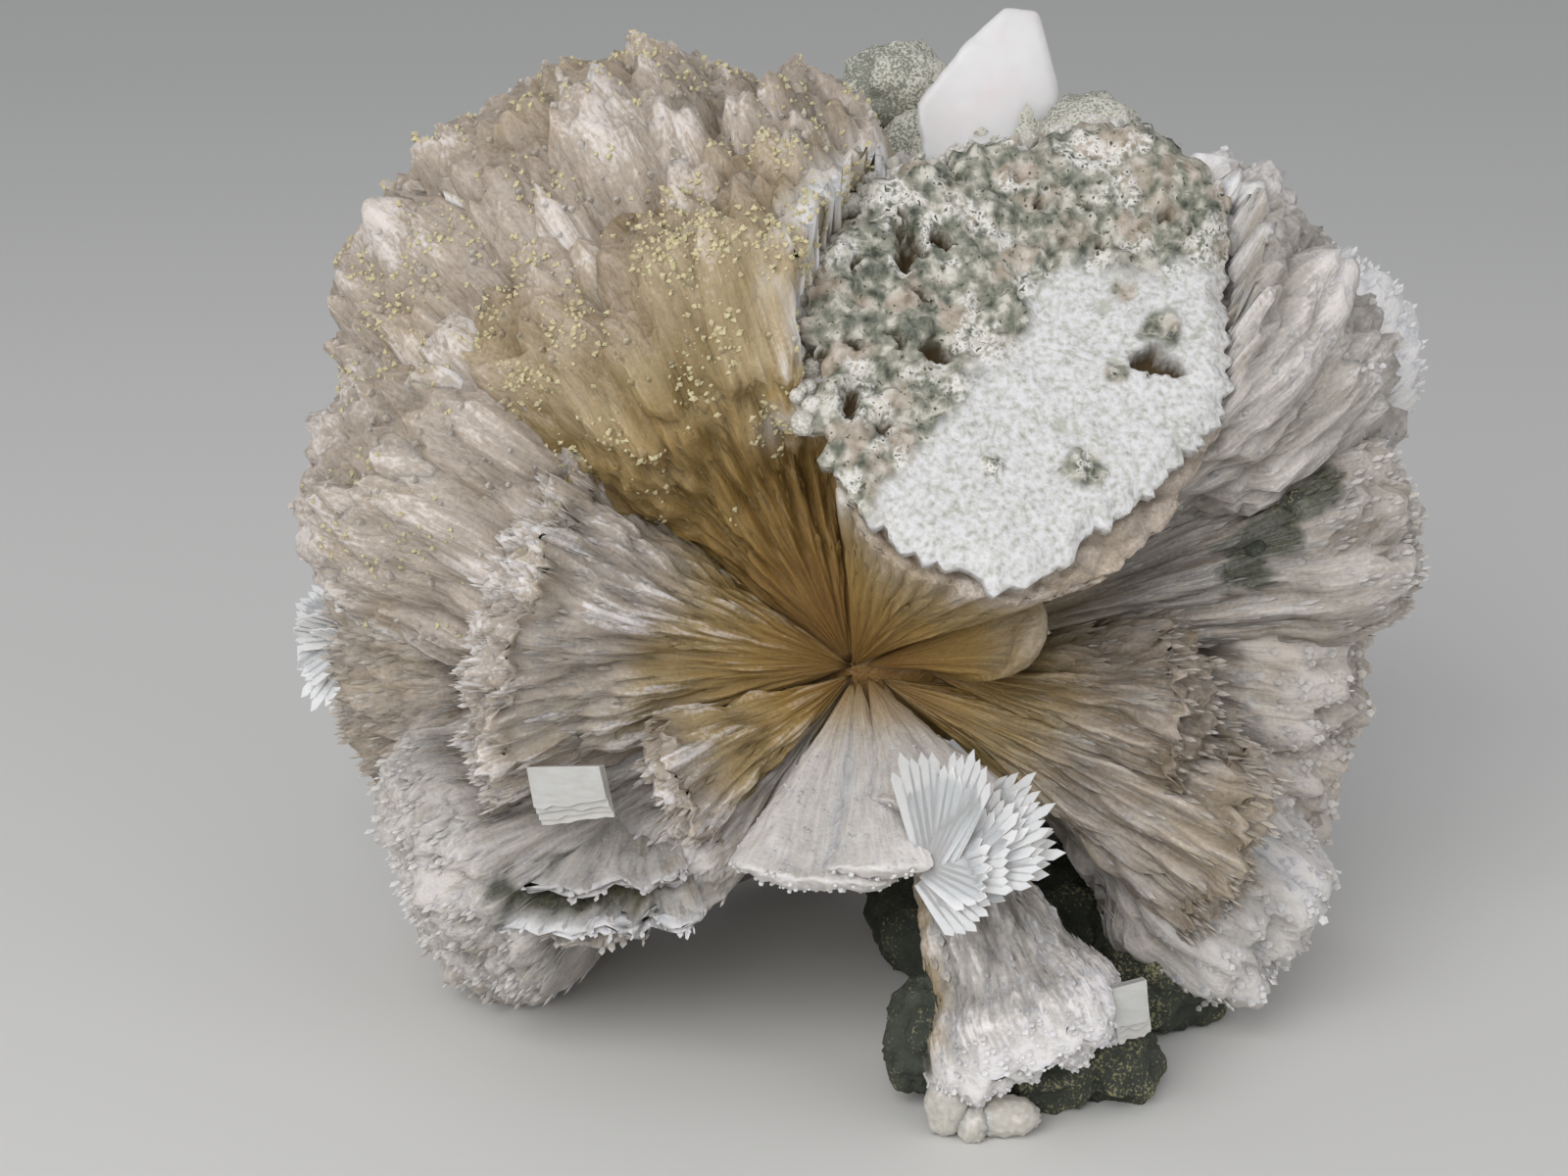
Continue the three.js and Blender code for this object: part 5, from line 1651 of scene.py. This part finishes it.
# %% [markdown]
# The crust is made as a plate: rings of squares from its middle to a ragged rim. The top is drawn in at the
# rim, and three more rings turn under it, so that the edge looks broken and not cut from paper.

# %% Crust: the plate
CRUST_RINGS = 56
CRUST_AROUND = 300
UNDER_RINGS = (1.004, 0.99, 0.985)  # the rings past the top's rim, as shares of the rim's reach
CRUST_RAG = 0.55
CRUST_RIM_DROP = 0.45  # how much thinner the crust gets towards its rim
CRUST_RIM_START = 0.9  # where that starts, as a share of its reach
CRUST_RIM_HEIGHT = 0.8  # the rim itself is rounded off to this share of its height
CRUST_TURNED = (0.15, -0.25)  # the height of the first ring past the rim, and of the others


def crust_part():
    """The plate: its middle, the rings of its top, three that turn under at its rim, and its underside."""
    turn = np.linspace(0, 2 * math.pi, CRUST_AROUND, endpoint=False)
    rim = np.stack([np.cos(turn), np.sin(turn), 0 * turn], axis=1)
    ragged = CRUST_RAG * (1.3 * uneven(rim * 6, 71, 3) + 1.5 * uneven(rim * 24, 72, 2))
    reach = crust_reach(turn) + ragged
    top = np.linspace(0, 1, CRUST_RINGS + 1)[1:]
    ring = np.concatenate([top, UNDER_RINGS])
    x = np.concatenate([[0], np.outer(ring, reach * np.cos(turn)).ravel(), [0]])
    y = np.concatenate([[0], np.outer(ring, reach * np.sin(turn)).ravel(), [0]])
    share = np.concatenate([[0], np.repeat(ring, CRUST_AROUND), [0]])
    raised, sunk, values = crust_relief(x, y)
    height = raised * (1 - CRUST_RIM_DROP * smooth(share, CRUST_RIM_START, 1)) - sunk
    under = np.concatenate([[0], np.repeat(np.arange(len(ring)) - CRUST_RINGS, CRUST_AROUND), [3]])
    height = np.where(under == 0, height * CRUST_RIM_HEIGHT, height)
    height = np.where(under == 1, CRUST_TURNED[0], np.where(under >= 2, CRUST_TURNED[1], height))
    places = BREAK_POINT + np.outer(x, BREAK_RIGHT) + np.outer(y, BREAK_UP) + np.outer(height, BREAK_NORMAL)
    around = np.arange(CRUST_AROUND)
    after = (around + 1) % CRUST_AROUND
    faces = [(0, 1 + a, 1 + b) for a, b in zip(around, after)]
    for k in range(len(ring) - 1):
        low, high = 1 + k * CRUST_AROUND, 1 + (k + 1) * CRUST_AROUND
        faces += zip(low + around, high + around, high + after, low + after)
    last, start = len(x) - 1, 1 + (len(ring) - 1) * CRUST_AROUND
    faces += [(last, start + b, start + a) for a, b in zip(around, after)]
    faces = [tuple(int(v) for v in face) for face in faces]
    return places, turned_outwards(places, faces), values


crust = mesh_piece("crust_fine", *crust_part())
print("crust:", len(crust.data.vertices), "vertices")

# %% [markdown]
# Chalky clay scatters all light at its surface, so it is matt and nearly white. The rock is matt too. It is
# grey-green and speckled at half a millimetre, with pinkish beige knobs where laths broke off, and drifts
# of white grains. The pits are stained by brown iron oxide.

# %% Material: clay crust with altered rock
CRUST_GRAIN = 0.35
CRUST_MOTTLE = 0.8


def crust_material():
    """Clay and rock, mixed by the values that the crust's vertices have."""
    material, tree, shader = new_material("clay_crust_with_altered_rock", Roughness=0.85)
    rock, pit, crack, beige, snowy = (
        add_node(tree, ATTRIBUTE, {"attribute_name": name}).outputs["Fac"]
        for name in ("rock", "pit", "crack", "beige", "snowy")
    )
    place = add_node(tree, "ShaderNodeTexCoord").outputs["Object"]
    fine, broad = (
        add_node(
            tree, NOISE, values={"Scale": 1 / (size * MM), "Detail": detail}, links={"Vector": place}
        ).outputs["Fac"]
        for size, detail in ((CRUST_GRAIN, 4), (CRUST_MOTTLE, 6))
    )
    stone, chalk, knobs = (
        set_ramp(add_node(tree, RAMP, links={"Fac": noise}), stops)
        for noise, stops in (
            (broad, [(0.3, "#41463d"), (0.42, "#74776a"), (0.53, "#9a988b"), (0.63, "#c8c4b9")]),
            (fine, [(0.28, "#a9a89f"), (0.42, "#c6c5c1"), (0.6, "#dcdbdc")]),
            (broad, [(0.3, "#857a69"), (0.48, "#ab9f90"), (0.68, "#c9bfb4")]),
        )
    )
    stony = add_node(tree, MIX, RGBA, links={0: beige, 6: stone, 7: knobs}).outputs[2]
    grains, specks = (
        add_node(tree, RANGE, values={"From Min": low, "From Max": high}, links={"Value": fine}).outputs[0]
        for low, high in ((0.4, 0.56), (0.61, 0.68))
    )
    grains = add_node(tree, MATH, {"operation": "MULTIPLY"}, links={0: grains, 1: snowy}).outputs[0]
    for amount, code in ((grains, "#e0ddd7"), (specks, "#4c4f3c")):
        stony = add_node(tree, MIX, RGBA, {7: colour(code)}, {0: amount, 6: stony}).outputs[2]
    skin = add_node(tree, MIX, RGBA, links={0: rock, 6: chalk, 7: stony}).outputs[2]
    for amount, code in ((crack, "#b4b4a8"), (pit, "#4a3a1e")):
        skin = add_node(tree, MIX, RGBA, {7: colour(code)}, {0: amount, 6: skin}).outputs[2]
    set_skin(tree, shader, skin, fine)
    return material


crust.data.materials.append(crust_material())
finished(crust, "crust", "matrix_crust")

# %% [markdown]
# Along its upper and left rim the crust runs out into rubble: small rough lumps of pale clay that fill the
# groove beside the crown.

# %% Rubble at the crust's rim
RUBBLE_COUNT = 80
RUBBLE_TURNS = (65, 215)  # degrees round the crust's middle, from its right side over the top
RUBBLE_SIZE = (0.3, 0.75)
RUBBLE_SHAPE = (0.7, 1.2)  # how much shorter or longer than its size a lump is each way
RUBBLE_ROUGH = 0.7
RUBBLE_OUT = (-0.4, 0.9)  # how far beyond the crust's rim a lump is
RUBBLE_HIGH = (-1.2, 0.5)  # and how high over the broken face


def rubble_parts():
    """Small rough lumps, scattered along the rim."""
    chance = np.random.default_rng(12)
    parts = []
    for k in range(RUBBLE_COUNT):
        turn = math.radians(chance.uniform(*RUBBLE_TURNS))
        reach = crust_reach(np.array([turn]))[0] + chance.uniform(*RUBBLE_OUT)
        place = BREAK_POINT + reach * (math.cos(turn) * BREAK_RIGHT + math.sin(turn) * BREAK_UP)
        place = place + chance.uniform(*RUBBLE_HIGH) * BREAK_NORMAL - NUCLEUS
        size = chance.uniform(*RUBBLE_SIZE) * chance.uniform(*RUBBLE_SHAPE, 3)
        parts.append(lump(place, size, 40 + k, 2, RUBBLE_ROUGH))
    return parts


CLAY_RUBBLE = rock_material("clay_rubble", "#9d9988", "#cfcbc3", "#dedbd6", 0.3)
rubble = mesh_piece("crust_rubble", *joined(rubble_parts()))
rubble.data.materials.append(CLAY_RUBBLE)
finished(rubble, "crust")

# %% [markdown]
# Two flat cleavage flakes lie on the specimen, slips of single large laths: one low on the left, the other
# beside the foot. Their pearly faces are split in a few sheets, and each lower sheet stands out a little
# farther at the bottom.

# %% Cleavage flakes
FLAKES = [  # four corners each, from the upper left one, clockwise, and a seed
    ([(-17, -10.6, -1.7), (-13.2, -11.7, -1.2), (-12.8, -12.2, -2.9), (-16.6, -11.3, -3.7)], 8),
    ([(12.5, -16, -11.7), (14.6, -15.6, -11.3), (14.8, -15.9, -13.3), (13.1, -16.4, -13.6)], 9),
]
FLAKE_SHEETS = 4
FLAKE_STEP = 0.32  # how much farther down the next sheet reaches
FLAKE_GAP = 0.2  # from one sheet to the next
FLAKE_HALF = 0.09  # half a sheet's thickness
FLAKE_RAG = 0.12
FLAKE_POINTS = 9  # along the upper and the lower edge


def flake_parts(flake, seed):
    """Thin sheets, one under another, each reaching lower than the one above."""
    chance = np.random.default_rng(seed)
    flake = np.array(flake)
    down = flake[3] - flake[0]
    down = down / np.linalg.norm(down)
    out = np.cross(flake[1] - flake[0], down)
    out = -out / np.linalg.norm(out) if out[1] > 0 else out / np.linalg.norm(out)
    steps = np.linspace(0, 1, FLAKE_POINTS)
    parts = []
    for sheet in range(FLAKE_SHEETS):
        corners = flake - sheet * FLAKE_GAP * out
        corners[2:] += sheet * FLAKE_STEP * down
        top = corners[0] + np.outer(steps, corners[1] - corners[0])
        low = corners[3] + np.outer(steps, corners[2] - corners[3])
        low = low + np.outer(chance.uniform(-FLAKE_RAG, FLAKE_RAG, FLAKE_POINTS), down)
        rim = np.concatenate([top, low[::-1]])
        places = NUCLEUS + np.concatenate([rim + FLAKE_HALF * out, rim - FLAKE_HALF * out])
        n = len(rim)
        faces = [(k, k + 1, n - 2 - k, n - 1 - k) for k in range(FLAKE_POINTS - 1)]
        faces += [tuple(v + n for v in face[::-1]) for face in faces]
        faces += [(k, (k + 1) % n, n + (k + 1) % n, n + k) for k in range(n)]
        parts.append((places, turned_outwards(places, faces), {}))
    return parts


PEARL = waxy_material("stilbite_cleavage_pearly", ("#bdb5ac", "#ded8d1"), 0.25, (0.12, 0.9, 0.9))
sheets = [part for flake, seed in FLAKES for part in flake_parts(flake, seed)]
flakes = mesh_piece("cleavage_flake", *joined(sheets), flat=True)
flakes.data.materials.append(PEARL)
finished(flakes, "white_blades")

# %% [markdown]
# The specimen stands on a plain pale table, large enough to fill the frame, in soft light: a broad lamp at
# the upper left, a weaker one at the right, and a pale surround.

# %% Table and light
TABLE_SIZE = 4.0
LAMP_AIM = (0, 0, 0.025)
bpy.ops.mesh.primitive_grid_add(x_subdivisions=2, y_subdivisions=2, size=TABLE_SIZE)
table = bpy.context.object
table.name = "table"
matt_paper = new_material("matt_paper", Base_Color=colour("#d9d8d5"), Roughness=0.9)[0]
table.data.materials.append(matt_paper)


def soft_lamp(name, place, size, power):
    """A square lamp that shines on the specimen."""
    data = bpy.data.lights.new(name, "AREA")
    data.size = size
    data.energy = power
    lamp = bpy.data.objects.new(name, data)
    lamp.location = Vector(place)
    lamp.rotation_euler = (Vector(LAMP_AIM) - Vector(place)).to_track_quat("-Z", "Y").to_euler()
    bpy.context.scene.collection.objects.link(lamp)


soft_lamp("key", (-0.14, -0.29, 0.23), 0.3, 1.05)
soft_lamp("fill", (0.3, -0.25, 0.16), 0.3, 0.25)
world = bpy.data.worlds.new("studio")
world.use_nodes = True
world.node_tree.nodes["Background"].inputs["Color"].default_value = colour("#e6e8ec")
world.node_tree.nodes["Background"].inputs["Strength"].default_value = 0.5
bpy.context.scene.world = world
bpy.context.scene.view_settings.view_transform = "Standard"
print("lamps:", ", ".join(lamp.name for lamp in bpy.data.lights))
